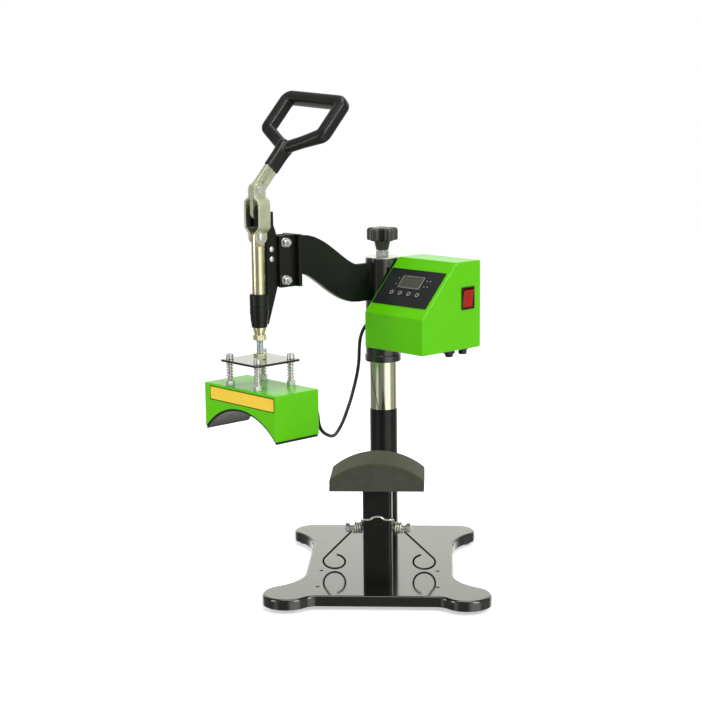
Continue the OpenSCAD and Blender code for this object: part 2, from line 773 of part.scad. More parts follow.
module box_shell() color([0.33, 0.72, 0.0]) swung() {
    inner = grown(box_side, -box_sheet);
    difference() {
        profile_x((box_x0 + box_x1) / 2, box_w) polygon(box_side);
        difference() {
            profile_x((box_x0 + box_x1) / 2, box_w - 2 * box_sheet) polygon([
                [inner[0][0], box_z - 1], [box_y1 + 1, box_z - 1], [box_y1 + 1, inner[2][1]],
                inner[3], inner[4]
            ]);
            for (x = [box_x0 + 9, box_x1 - 9]) for (z = [box_z + 14, box_top - 14])
                translate([x - 9, box_y1 - 2 * box_sheet - 0.1, z - 8]) cube([18, box_sheet, 16]);
        }
        at_keys() rod_z(key_d / 2 + slip, -5, 5);
        on_slope() translate([window_x - slip, window_y - slip, -5]) cube([window_w + 0.6, window_h + 0.6, 10]);
        translate([box_x1, rocker_y, rocker_z]) cube([10, rocker_w + 4.4, rocker_h + 4.4], center = true);
        translate(gland_box) rod_x(4.6, -3, 3);
        at_box_screws() rod_z(2.1, -8, 3);
        translate([box_x0, 0, saddle_z0 + 18]) rod_x(3.1, -3, 3);
        translate([box_x0, 0, saddle_z1 - 18]) rod_x(3.1, -3, 3);
    }
}

module box_back_cover() color([0.1, 0.1, 0.1]) swung() {
    side = box_sheet + 0.2;
    difference() {
        union() {
            translate([box_x0 + side, box_y1 - box_sheet, box_z])
                cube([box_w - 2 * side, box_sheet, box_h - box_sheet - 0.2]);
            translate([box_x0 + side, box_y0 + side, box_z])
                cube([box_w - 2 * side, box_d - side, box_sheet]);
        }
        at_box_screws() rod_z(2.1, -8, 3);
        for (i = [0:5]) translate([box_x0 + box_w / 2 - 32, box_y1, box_z + 52 + i * 9])
            rotate([90, 0, 0]) linear_extrude(4, center = true) {
                square([64, 3.2]);
                translate([0, 1.6]) circle(1.6);
                translate([64, 1.6]) circle(1.6);
            }
        translate([gland_mains[0], gland_mains[1], 0]) rod_z(7, box_z - 2, box_z + 4);
        translate([fuse_at[0], fuse_at[1], 0]) rod_z(7, box_z - 2, box_z + 4);
    }
}

module keypad_panel() color([0.07, 0.07, 0.08]) swung() difference() {
    on_slope() translate([(box_w - panel_w) / 2 + panel_w / 2, panel_y + panel_h / 2, 0])
        linear_extrude(panel_t) soft_rect(panel_w, panel_h, 5);
    at_keys() rod_z(key_d / 2 + slip, -5, 5);
    on_slope() translate([window_x - slip, window_y - slip, -5]) cube([window_w + 0.6, window_h + 0.6, 10]);
}

board_z = -12;
board_t = 1.6;
board_w = box_w - 36;
board_h = panel_h + 11;
board_x = (box_w - board_w) / 2;
board_y = panel_y - 5;
post_in = 4;
module display() color([0.27, 0.28, 0.24]) swung() on_slope() {
    translate([window_x, window_y, -box_sheet - 1]) cube([window_w, window_h, box_sheet + panel_t + 1.3]);
    translate([window_x - 3, window_y - 4, board_z + board_t])
        cube([window_w + 6, window_h + 8, -board_z - board_t - box_sheet - 0.1]);
}

module control_board() color([0.05, 0.3, 0.12]) swung() on_slope() {
    translate([board_x, board_y, board_z]) cube([board_w, board_h, board_t]);
    for (i = [0:3]) translate([key_x0 + i * key_pitch, key_y, 0]) {
        plate(6, 6, board_z + board_t, -8);
        rod_z(1.7, -8.1, -7.2);
    }
    translate([30, 92, board_z - 14]) cube([26, 9, 14]);
    translate([70, 24, board_z - 9]) rod_z(6, -2, 9);
    translate([88, 24, board_z - 9]) rod_z(6, -2, 9);
    for (x = [board_x + post_in, board_x + board_w - post_in])
        for (y = [board_y + post_in, board_y + board_h - post_in])
            translate([x, y, 0]) rod_z(2.6, board_z + board_t, -box_sheet);
}

module heater_relay() color([0.75, 0.76, 0.78]) swung() {
    translate([box_x0 + 28, box_y1 - 40, box_z + box_sheet]) {
        translate([0, 0, 0]) cube([60, 3, 50]);
        translate([8, -22, 4]) cube([44, 22, 42]);
        translate([0, -24, 0]) cube([60, 27, 3]);
    }
    translate([box_x0 + 12, box_y0 + 40, box_z + box_sheet]) cube([42, 36, 34]);
}

module rocker_frame() color([0.07, 0.07, 0.07]) swung() translate([box_x1, rocker_y, rocker_z]) difference() {
    union() {
        translate([1, 0, 0]) cube([2, rocker_w + 7, rocker_h + 7], center = true);
        translate([-11, 0, 0]) cube([22 + e, rocker_w + 4, rocker_h + 4], center = true);
    }
    translate([-8, 0, 0]) cube([24, rocker_w + 1.2, rocker_h + 1.6], center = true);
    rotate([90, 0, 0]) translate([-3, 0, -rocker_w]) cylinder(r = 1.6, h = 2 * rocker_w);
}

// Rocker: dished face, narrow heel, and stub pins in the frame
module power_rocker() color([0.85, 0.08, 0.08]) swung()
    translate([box_x1 - 3, rocker_y, rocker_z]) rotate([0, rocker_tilt, 0]) {
        difference() {
            rotate([90, 0, 0]) linear_extrude(rocker_w, center = true) polygon([
                [6, -rocker_h / 2 + 0.6], [6, rocker_h / 2 - 0.6], [0, rocker_h / 2 - 0.4],
                [-9, 6], [-9, -6], [0, -rocker_h / 2 + 0.4]
            ]);
            translate([64, 0, 0]) rotate([90, 0, 0])
                cylinder(r = 60, h = rocker_w + 2, center = true, $fn = 128);
        }
        rotate([90, 0, 0]) cylinder(r = 1.5, h = rocker_w + 2.6, center = true);
    }

gland_mains = [box_x1 - 24, 14];
fuse_at = [box_x1 - 17, 40];
module mains_gland() color([0.06, 0.06, 0.06]) swung() translate([gland_mains[0], gland_mains[1], 0]) difference() {
    union() {
        rod_z(6.9, box_z - 1, box_z + 10);
        rod_z(10, box_z - 3, box_z);
        hex_z(18, box_z - 8, box_z - 2.9);
        translate([0, 0, box_z - 14]) cylinder(r1 = 6, r2 = 8, h = 6.1);
        hex_z(18, box_z + box_sheet, box_z + 6);
    }
    rod_z(3.8, box_z - 20, box_z + 20);
}

module fuse_holder() color([0.06, 0.06, 0.06]) swung() translate([fuse_at[0], fuse_at[1], 0]) difference() {
    union() {
        rod_z(6.9, box_z - 1, box_z + 30);
        rod_z(9.5, box_z - 3, box_z);
        rod_z(7, box_z - 11, box_z - 2.9);
    }
    plate(12, 1.6, box_z - 12, box_z - 9.5);
}

module gland_body(r, len) {
    rotate([0, 90, 0]) {
        translate([0, 0, -len]) cylinder(r1 = r - 0.8, r2 = r + 1.2, h = len - 5);
        translate([0, 0, -5.1]) cylinder(d = 2 * r + 6, h = 5, $fn = 6);
        translate([0, 0, -1]) cylinder(r = r + 1.4 - 1.9, h = 5);
    }
}

module cable_gland() color([0.06, 0.06, 0.06]) swung() translate(gland_box) gland_body(5, gland_box_len);

module heater_gland() color([0.06, 0.06, 0.06]) swung() translate(gland_heater) rotate([0, 0, -90])
    gland_body(5, gland_len);

saddle_z0 = box_z + 15;
saddle_z1 = box_top - 17;
module box_saddle() color([0.1, 0.11, 0.1]) swung() difference() {
    translate([tube_r - 8, -15, saddle_z0]) cube([box_x0 - tube_r + 8, 30, saddle_z1 - saddle_z0]);
    rod_z(tube_r + e, 0, box_top + 20);
    for (z = [saddle_z0 + 18, saddle_z1 - 18]) translate([tube_r, 0, z]) rod_x(3, 0.4, 5);
}

module box_screws() color([0.8, 0.81, 0.83]) swung() {
    at_box_screws() {
        rod_z(2, -7, 0.5);
        rod_z(3.8, 0, 2.2);
    }
    for (z = [saddle_z0 + 18, saddle_z1 - 18]) translate([box_x0 + box_sheet, 0, z]) {
        rod_x(2.95, -3, 1);
        rod_x(5.5, 0, 3.5);
    }
}

module key_cap(i) swung() on_slope() translate([key_x0 + i * key_pitch, key_y, 0]) {
    rod_z(key_d / 2, -box_sheet - 0.6, panel_t + 1.4);
    rod_z(key_d / 2 + 1.5, -box_sheet - 1.1, -box_sheet - 0.1);
    rod_z(2, -6, -box_sheet - 0.5);
}
module key_1() color([0.16, 0.16, 0.17]) key_cap(0);
module key_2() color([0.16, 0.16, 0.17]) key_cap(1);
module key_3() color([0.16, 0.16, 0.17]) key_cap(2);
module key_4() color([0.16, 0.16, 0.17]) key_cap(3);

// Five round lobes about a hub, with a tapered boss below
module star_knob() color([0.16, 0.16, 0.15]) translate([0, reach, 0]) difference() {
    union() {
        translate([0, 0, knob_z]) linear_extrude(knob_h - 3) star(0);
        translate([0, 0, knob_z + knob_h - 3.1]) linear_extrude(1.6) star(1);
        translate([0, 0, knob_z + knob_h - 1.6]) linear_extrude(1.6) star(2.5);
        translate([0, 0, knob_z - 17]) cylinder(r1 = 10.5, r2 = 14.5, h = 17.1);
    }
    rod_z(knob_stud_r, knob_z - 18, knob_z + knob_h - 6);
}

module star(d) {
    circle(knob_d / 2 - 12 - d);
    for (i = [0:4]) rotate([0, 0, 72 * i + 18]) translate([knob_d / 2 - 9, 0]) circle(9 - d);
    for (i = [0:4]) rotate([0, 0, 72 * i + 18]) translate([knob_d / 4 - 4, 0])
        square([knob_d / 2 - 10, 18 - 2 * d], center = true);
}

module knob_stud() color([0.62, 0.62, 0.62]) translate([0, reach, 0]) {
    rod_z(knob_stud_r - run, column_top_z - 40, knob_z + knob_h - 6.5);
    difference() {
        hex_z(19, tube_top + 2, knob_z - 18.5);
        rod_z(knob_stud_r + run, tube_top, knob_z);
    }
}

module on_neck() {
    translate([0, 0, upper_z]) rotate([-handle_lean, 0, 0]) children();
}

module house_frame(outer, inner, thick) {
    rotate([90, 0, 0]) linear_extrude(thick, center = true) difference() {
        polygon(rounded(outer, 14, 6));
        polygon(rounded(inner, 6, 4));
    }
}

module bar_solid(extra) {
    t = bar_t + 2 * extra;
    w = bar_w + 2 * extra;
    profile_x(0, t) {
        translate([0, pivot_z]) circle(w / 2);
        translate([-w / 2, pivot_z]) square([w, crank]);
        translate([0, upper_z]) circle(w / 2);
        translate([0, upper_z]) rotate(-handle_lean) translate([-w / 2, 0]) square([w, bar_end + extra]);
    }
}

module loop_core(extra) {
    on_neck() rotate([0, 0, grip_twist]) house_frame(
        grown(core_mid, core_band / 2 + extra), grown(core_mid, -core_band / 2 - extra),
        core_thick + 2 * extra
    );
}

module handle_bar() color([0.78, 0.78, 0.76]) head() difference() {
    union() {
        bar_solid(0);
        loop_core(0);
    }
    translate([0, 0, pivot_z]) rod_x(pin_r + run, -20, 20);
    translate([0, 0, upper_z]) rod_x(rivet_r, -20, 20);
}

module handle_grip() color([0.09, 0.09, 0.09]) head() difference() {
    union() {
        on_neck() rotate([0, 0, grip_twist]) house_frame(grip_outer, grip_inner, grip_thick);
        on_neck() translate([0, 0, grip_start]) linear_extrude(bar_end - grip_start + 2)
            soft_rect(bar_t + 6, grip_neck, 5);
    }
    bar_solid(0.1);
    loop_core(0.1);
}

module upper_pin() color([0.85, 0.86, 0.88]) head() translate([0, 0, upper_z]) {
    rod_x(rivet_r - 0.01, -link_top_x - link_t - 0.3, link_top_x + link_t + 0.3);
    for (s = [0, 1]) mirror([s, 0, 0]) rod_x(6.5, link_top_x + link_t + 0.2, link_top_x + link_t + 2.6);
}

// A link seen from the front: narrow at both pins, bulged round the ears between them
link_bends = [
    [-link_w / 2 - 1, 0], [7.5, 0], [17, 1], [link_len - 22, 1], [link_len - 12, 2], [link_len + 14, 2]
];
function link_x(k) = k == 0 ? link_low_x : k == 1 ? link_mid_x : link_top_x;
module side_link() intersection() {
    rotate([90, 0, 0]) linear_extrude(2 * link_w, center = true) polygon(concat(
        [for (b = link_bends) [link_x(b[1]), plunger_pivot_z + b[0]]],
        [for (i = [len(link_bends) - 1:-1:0])
            [link_x(link_bends[i][1]) + link_t, plunger_pivot_z + link_bends[i][0]]]
    ));
    profile_x(20, 60) difference() {
        union() {
            translate([0, plunger_pivot_z]) circle(link_w / 2);
            translate([-link_w / 2, plunger_pivot_z]) square([link_w, link_len]);
            translate([0, upper_z]) circle(link_w / 2);
        }
        translate([0, plunger_pivot_z]) circle(rivet_r + run);
        translate([0, upper_z]) circle(rivet_r + run);
    }
}

module side_links() color([0.8, 0.8, 0.77]) head() {
    side_link();
    mirror([1, 0, 0]) side_link();
}

module link_rivets() color([0.85, 0.86, 0.88]) head() for (s = [0, 1]) mirror([s, 0, 0])
    translate([0, 0, plunger_pivot_z]) {
        rod_x(rivet_r, link_low_x, link_low_x + link_t + 0.1);
        rod_x(6.5, link_low_x + link_t, link_low_x + link_t + 2.4);
    }

module plunger() color([0.86, 0.84, 0.74]) head() difference() {
    union() {
        translate([0, 0, plunger_tip_z]) cylinder(r1 = plunger_r - 2.5, r2 = plunger_r, h = 9);
        rod_z(plunger_r, plunger_tip_z + 8.9, plunger_pivot_z);
        translate([0, 0, plunger_pivot_z]) rotate([0, 90, 0])
            cylinder(r = plunger_r, h = 2 * plunger_flat, center = true);
    }
    for (s = [-1, 1]) translate([s * (plunger_flat + 20), 0, plunger_pivot_z])
        cube([40, 40, 30], center = true);
    translate([0, 0, plunger_pivot_z]) rod_x(rivet_r, -20, 20);
    rod_z(stud_d / 2, plunger_tip_z - 1, plunger_tip_z + 40);
}

module plunger_pin() color([0.7, 0.7, 0.7]) head() translate([0, 0, plunger_pivot_z])
    rod_x(rivet_r - 0.02, -plunger_flat - 0.1, plunger_flat + 0.1);

stud_low = spring_z1 - 10;
module pressure_stud() color([0.74, 0.78, 0.84]) head() {
    rod_z(stud_d / 2 - 0.02, stud_low, plunger_tip_z + 35);
}

module stud_nut(z0, z1) difference() {
    hex_z(19, z0, z1);
    rod_z(stud_d / 2 + run, z0 - 1, z1 + 1);
}

module stud_nuts() color([0.8, 0.76, 0.55]) head() {
    stud_nut(plunger_tip_z - 9.5, plunger_tip_z - 0.1);
    stud_nut(spring_plate_top, spring_plate_top + 10);
    stud_nut(spring_z1 - 8, spring_z1);
}

module spring_plate() color([0.1, 0.1, 0.1]) head() difference() {
    translate([0, 0, spring_z1]) linear_extrude(spring_plate_t) soft_rect(spring_plate_w, spring_plate_w, 2);
    rod_z(stud_d / 2 + run, 0, spring_plate_top + 1);
    four(guide_x, guide_x) rod_z(guide_r + 0.08, 0, spring_plate_top + 1);
}

lip = 2.5;
module heater_housing() color([0.33, 0.72, 0.0]) head() difference() {
    plate(heater_w, heater_d, heater_bot + lip, heater_top);
    plate(
        heater_w - 2 * heater_sheet, heater_d - 2 * heater_sheet, heater_bot - 1, heater_top - heater_sheet
    );
    translate([0, heater_d, arch_cz]) rotate([90, 0, 0])
        cylinder(r = arch_r + lip, h = 2 * heater_d, $fn = 128);
    four(guide_x, guide_x) rod_z(guide_r + 0.1, heater_bot, heater_top + 1);
    translate([gland_heater[0], heater_d / 2, gland_heater[2]]) rotate([90, 0, 0])
        cylinder(r = 4.7, h = 10, center = true);
}

module arch_band(r0, r1, w, d) difference() {
    intersection() {
        translate([0, d / 2, arch_cz]) rotate([90, 0, 0]) cylinder(r = r1, h = d, $fn = 128);
        plate(w, d, heater_bot - 10, heater_top);
    }
    translate([0, d / 2 + 1, arch_cz]) rotate([90, 0, 0]) cylinder(r = r0, h = d + 2, $fn = 128);
}

inside = heater_sheet + 0.3;
module heating_platen() color([0.16, 0.15, 0.15]) head() difference() {
    intersection() {
        arch_band(arch_r, arch_r + arch_t, heater_w - 2 * inside, heater_d - 2 * inside);
        plate(heater_w, heater_d, heater_bot - 0.5, heater_top);
    }
    four(guide_x, guide_x) rod_z(guide_r, guide_z0, heater_top);
    translate([0, 0, arch_cz + arch_r]) rod_z(2, 5.2, 20);
    translate([gland_heater[0], heater_d / 2 - heater_sheet - 4, gland_heater[2]]) rotate([-90, 0, 0])
        cylinder(r = 5, h = 8);
}

module heating_element() color([0.62, 0.6, 0.55]) head() difference() {
    arch_band(arch_r + arch_t + 0.2, arch_r + arch_t + element_t, heater_w - 48, heater_d - 16);
    four(guide_x, guide_x) rod_z(guide_r + 0.6, heater_bot, heater_top);
    rod_z(4, heater_bot, heater_top);
}

module insulation() color([0.85, 0.83, 0.74]) head() difference() {
    wool_r = arch_r + arch_t + element_t;
    arch_band(wool_r + 0.2, wool_r + wool_t, heater_w - 38, heater_d - 10);
    four(guide_x, guide_x) rod_z(guide_r + 0.8, heater_bot, heater_top);
    rod_z(5, heater_bot, heater_top);
}

module heat_sensor() color([0.8, 0.8, 0.8]) head() translate([0, 0, arch_cz + arch_r]) {
    rod_z(2, 5.2, 27);
    hex_z(6, arch_t + element_t + wool_t + 0.2, 30);
}

module guide_bolts() color([0.86, 0.87, 0.86]) head() four(guide_x, guide_x) {
    rod_z(guide_r - 0.01, guide_z0, spring_plate_top + 1);
    difference() {
        rod_z(6.4, spring_plate_top, spring_plate_top + 9);
        hex_z(6, spring_plate_top + 5, spring_plate_top + 10);
    }
    difference() {
        rod_z(7.2, heater_top, heater_top + cup_h);
        rod_z(guide_r + run, heater_top - 1, heater_top + cup_h + 1);
    }
}

spring_mean_r = (spring_d - spring_wire) / 2;
spring_path = [
    for (i = [0:spring_turns * coil_steps])
        let (u = i / (spring_turns * coil_steps))
        [
            spring_mean_r * cos(360 * i / coil_steps),
            spring_mean_r * sin(360 * i / coil_steps),
            lerp(spring_z0 + spring_wire / 2 + 0.1, spring_z1 - spring_wire / 2 - 0.1, u)
        ]
];
echo(spring_gap = least_gap(spring_path, coil_steps - 1, spring_wire));
module head_springs() color([0.8, 0.8, 0.76]) head() four(guide_x, guide_x)
    tube_along(spring_path, spring_wire / 2, [1, 0, 0], 6);

module heater_cable() color([0.06, 0.06, 0.06]) swung() tube_along(cable_route, cable_d / 2, [1, 0, 0], 8);

base_plate();
rubber_feet();
foot_screws();
platen_post();
platen_form();
platen_pad();
platen_bolts();
clip_pivot_rod();
clip_springs();
clip_arms();
column_tube();
column_shaft();
thrust_washer();
swing_tube();
swing_bushes();
tube_cap();
swing_arm();
arm_bracket();
bracket_bolts();
clamp_frame();
guide_barrel();
frame_pin();
box_shell();
box_back_cover();
keypad_panel();
display();
control_board();
heater_relay();
rocker_frame();
mains_gland();
fuse_holder();
cable_gland();
box_screws();
box_saddle();
power_rocker();
key_1();
key_2();
key_3();
key_4();
star_knob();
knob_stud();
handle_bar();
handle_grip();
upper_pin();
side_links();
link_rivets();
plunger();
plunger_pin();
pressure_stud();
stud_nuts();
spring_plate();
heater_housing();
heating_platen();
heating_element();
insulation();
heat_sensor();
guide_bolts();
heater_gland();
head_springs();
heater_cable();
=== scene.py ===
import math

import bmesh
import bpy
from mathutils import Matrix, Vector


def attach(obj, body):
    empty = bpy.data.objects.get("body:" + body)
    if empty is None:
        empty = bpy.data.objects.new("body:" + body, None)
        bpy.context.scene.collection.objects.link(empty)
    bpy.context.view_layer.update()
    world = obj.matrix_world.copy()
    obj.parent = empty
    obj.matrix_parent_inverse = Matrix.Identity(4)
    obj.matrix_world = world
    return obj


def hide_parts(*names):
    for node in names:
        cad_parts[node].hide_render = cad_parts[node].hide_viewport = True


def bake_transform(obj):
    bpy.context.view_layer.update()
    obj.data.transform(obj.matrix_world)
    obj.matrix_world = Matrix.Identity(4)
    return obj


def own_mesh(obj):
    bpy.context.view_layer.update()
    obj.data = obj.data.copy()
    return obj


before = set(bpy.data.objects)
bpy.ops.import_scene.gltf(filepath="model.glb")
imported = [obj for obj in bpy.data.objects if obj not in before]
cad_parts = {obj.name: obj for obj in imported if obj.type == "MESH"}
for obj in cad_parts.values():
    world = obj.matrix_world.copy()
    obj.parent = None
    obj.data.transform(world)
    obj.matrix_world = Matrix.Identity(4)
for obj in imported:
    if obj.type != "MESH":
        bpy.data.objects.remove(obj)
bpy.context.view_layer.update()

# Camera
# The press was photographed from in front and above, with a long lens. The place, the tilt and the focal
# length were fitted to the photograph.
EYE = Vector((0.10265, -2.49681, 0.80841))
YAW, PITCH, ROLL = math.radians(-3.30), math.radians(9.80), math.radians(-0.64)
FOCAL_PX, FRAME_PX, SENSOR_MM = 1600, 701, 36

ahead = Vector((math.sin(YAW) * math.cos(PITCH), math.cos(YAW) * math.cos(PITCH), -math.sin(PITCH)))
level = Vector((math.cos(YAW), -math.sin(YAW), 0))
upright = level.cross(ahead)
camera = bpy.data.objects.new("camera", bpy.data.cameras.new("camera"))
camera.data.sensor_width = SENSOR_MM
camera.data.lens = FOCAL_PX / FRAME_PX * SENSOR_MM
camera.data.clip_end = 20
axes = Matrix((
    math.cos(ROLL) * level + math.sin(ROLL) * upright,
    math.cos(ROLL) * upright - math.sin(ROLL) * level,
    -ahead,
))
camera.matrix_world = Matrix.Translation(EYE) @ axes.transposed().to_4x4()
bpy.context.scene.collection.objects.link(camera)
bpy.context.scene.camera = camera

# Heater cable
# A round cable with a rubber sheath leaves the box behind the swing tube, sags below the arm and rises to the
# gland on the back of the heating head. Lengths are millimetres, laid out in the frame of the swing head.
REACH = 280
MM = Matrix.Scale(0.001, 4)
COLUMN = MM @ Matrix.Translation((0, REACH, 0)) @ Matrix.Rotation(math.radians(-44), 4, "Z")
CABLE_D = 6
CABLE_ROUTE = [(60, -219.9, 264), (60, -217, 264), (60, -214, 262.8), (60.1, -211, 259.6),
               (60.2, -209.2, 254.5), (60.2, -208.4, 248), (60, -207.2, 240.5), (59.2, -204.4, 233),
               (57.4, -199, 225.5), (53, -188, 217.5), (45, -172, 210), (36, -157, 205), (27, -142, 203),
               (17, -126, 205), (8, -110, 211), (0, -95, 220), (-8, -80, 232), (-16, -65, 245),
               (-24, -51, 259), (-31, -38, 275), (-36, -28, 292), (-40, -21, 310), (-43, -17, 329),
               (-44, -13, 348), (-43, -4, 365), (-38, 9, 378), (-28.6, 23.5, 387), (-16.5, 35.2, 392),
               (-4.8, 43.4, 394), (4, 47.2, 394), (12, 48, 394), (20, 48, 394)]
TAIL_POINTS = 7


def rgb(text):
    """Linear colour of an sRGB hex value."""
    parts = [int(text[i : i + 2], 16) / 255 for i in (1, 3, 5)]
    return tuple(c / 12.92 if c <= 0.04045 else ((c + 0.055) / 1.055) ** 2.4 for c in parts) + (1.0,)


def add_node(tree, kind, inputs=(), **settings):
    """Adds a node; an input given as a socket is linked and any other value is set."""
    node = tree.nodes.new(kind)
    for key, value in settings.items():
        setattr(node, key, value)
    for key, value in dict(inputs).items():
        if isinstance(value, bpy.types.NodeSocket):
            tree.links.new(value, node.inputs[key])
        else:
            node.inputs[key].default_value = value
    return node


def finish(name, light, dark, rough, metal=0.0, cloud_mm=50, grain_mm=1.0, relief_mm=0.02, stretch=(1, 1, 1),
           coat=0.0, specular=0.5):
    """A surface that drifts between two tones and two roughnesses, with a real-size grain in its relief."""
    made = bpy.data.materials.new(name)
    made.use_nodes = True
    tree = made.node_tree
    tree.nodes.clear()
    coords = add_node(tree, "ShaderNodeTexCoord").outputs["Object"]
    drift = add_node(tree, "ShaderNodeTexNoise", {
        "Vector": coords, "Scale": 1000 / cloud_mm, "Detail": 4.0, "Roughness": 0.6}).outputs[0]
    along = add_node(tree, "ShaderNodeMapping", {"Vector": coords, "Scale": stretch}).outputs[0]
    grain = add_node(tree, "ShaderNodeTexNoise", {
        "Vector": along, "Scale": 1000 / grain_mm, "Detail": 4.0, "Roughness": 0.6}).outputs[0]
    both = add_node(tree, "ShaderNodeMath", {0: drift, 1: grain}, operation="ADD").outputs[0]
    share = add_node(tree, "ShaderNodeMapRange", {"Value": both, "From Min": 0.7, "From Max": 1.3}).outputs[0]
    tone = add_node(tree, "ShaderNodeMix", {0: share, 6: rgb(dark), 7: rgb(light)},
                    data_type="RGBA").outputs[2]
    roughness = add_node(tree, "ShaderNodeMapRange", {
        "Value": share, "To Min": rough[0], "To Max": rough[1]}).outputs[0]
    relief = add_node(tree, "ShaderNodeBump", {
        "Height": grain, "Strength": 1.0, "Distance": relief_mm / 1000}).outputs[0]
    shader = add_node(tree, "ShaderNodeBsdfPrincipled", {
        "Base Color": tone, "Roughness": roughness, "Normal": relief, "Metallic": metal,
        "Coat Weight": coat, "Coat Roughness": 0.08, "Specular IOR Level": specular})
    add_node(tree, "ShaderNodeOutputMaterial", {"Surface": shader.outputs[0]})
    return made


def set_piece(name, bm, place, material, body, crease=35, hides=()):
    """Makes a bmesh a piece of the scene, in metres, smooth but for edges past the crease angle."""
    bmesh.ops.remove_doubles(bm, verts=bm.verts, dist=1e-3)
    bmesh.ops.recalc_face_normals(bm, faces=bm.faces)
    bm.transform(place)
    mesh = bpy.data.meshes.new(name)
    bm.to_mesh(mesh)
    bm.free()
    return set_mesh(name, mesh, material, body, crease, hides)


def set_mesh(name, mesh, material, body, crease=35, hides=()):
    """The same for a mesh that is already in place; body is None for a piece that is attached to no body."""
    mesh.polygons.foreach_set("use_smooth", [True] * len(mesh.polygons))
    mesh.set_sharp_from_angle(angle=math.radians(crease))
    mesh.materials.clear()
    mesh.materials.append(material)
    piece = bpy.data.objects.new(name, mesh)
    bpy.context.scene.collection.objects.link(piece)
    if body:
        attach(piece, body)
        even = piece.modifiers.new("even", "WEIGHTED_NORMAL")
        even.keep_sharp = True
    if hides:
        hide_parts(*hides)
    return piece


def bridge(bm, rings, closed=False):
    """Skins a run of rings of equal length, and caps its two ends unless it is closed."""
    made = [[bm.verts.new(p) for p in ring] for ring in rings]
    pairs = list(zip(made, made[1:])) + ([(made[-1], made[0])] if closed else [])
    for a, b in pairs:
        for k in range(len(a)):
            m = (k + 1) % len(a)
            bm.faces.new((a[k], a[m], b[m], b[k]))
    if not closed:
        bm.faces.new(reversed(made[0]))
        bm.faces.new(made[-1])


def circle(r, n):
    return [(r * math.cos(math.tau * k / n), r * math.sin(math.tau * k / n)) for k in range(n)]


def smooth_path(points, step):
    """Catmull-Rom curve through the points, with about one point per step."""
    points = [Vector(p) for p in points]
    ends = [points[0] * 2 - points[1]] + points + [points[-1] * 2 - points[-2]]
    out = []
    for a, b, c, d in zip(ends, ends[1:], ends[2:], ends[3:]):
        n = max(1, round((c - b).length / step))
        for i in range(n):
            u = i / n
            bend = (2 * a - 5 * b + 4 * c - d) * u**2 + (3 * b - a - 3 * c + d) * u**3
            out.append(0.5 * (2 * b + (c - a) * u + bend))
    return out + [points[-1]]


def sweep(bm, path, section, up, closed=False):
    """Carries a section, or a function that gives one for each step, along a path without twist."""
    count = len(path)
    normal, rings = Vector(up), []
    for i, p in enumerate(path):
        before = path[i - 1] if closed or i else path[0]
        after = path[(i + 1) % count] if closed or i < count - 1 else path[-1]
        run = (after - before).normalized()
        normal = (normal - run * normal.dot(run)).normalized()
        side = run.cross(normal)
        flat = section(i / count) if callable(section) else section
        rings.append([p + normal * x + side * y for x, y in flat])
    bridge(bm, rings, closed)


# Rubber sheath: matt black, with a faint sheen along its length.
cable_sheath = finish("cable_sheath", "#1d1d1c", "#111110", (0.36, 0.48), cloud_mm=16, grain_mm=0.8,
                      relief_mm=0.01)


def cable_piece(name, route, hides=()):
    bm = bmesh.new()
    line = smooth_path(route, 3)
    sweep(bm, line, circle(CABLE_D / 2, 16), (1, 0, 0))
    piece = set_piece(name, bm, COLUMN, cable_sheath, None, hides=hides)
    return piece, [COLUMN @ p for p in line]


cable, cable_line = cable_piece("cable_main", CABLE_ROUTE[TAIL_POINTS - 1 :], ("heater_cable",))
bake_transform(cable)
cable_tail = cable_piece("cable_tail", CABLE_ROUTE[:TAIL_POINTS])[0]
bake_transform(cable_tail)

# Base
# A pan stamped from 3 mm steel: a flat top with four round lobes, its rim folded down over a 5 mm radius,
# four bolt holes, glossy black paint.
LOBE_FRONT, LOBE_FRONT_R = Vector((142, -72)), 40
LOBE_REAR, LOBE_REAR_R = Vector((128, 284)), 34
FRONT_EDGE, WAIST = -90, 122
NOTCH_R, HOLLOW_LOW_R, HOLLOW_HIGH_R = 26, 80, 100
BASE_SHEET, RIM, FOLD_R = 3, 17, 5
BOLT_DX, BOLT_DY, BOLT_HOLE_R = 192, 84, 3.3
ON_BASE = MM


def arc(centre, r, start, end, n):
    """Points of an arc between two angles in degrees, both ends included."""
    turns = [math.radians(start + (end - start) * i / n) for i in range(n + 1)]
    return [(centre[0] + r * math.cos(t), centre[1] + r * math.sin(t)) for t in turns]


def heading(a, b):
    return math.degrees(math.atan2(b[1] - a[1], b[0] - a[0]))


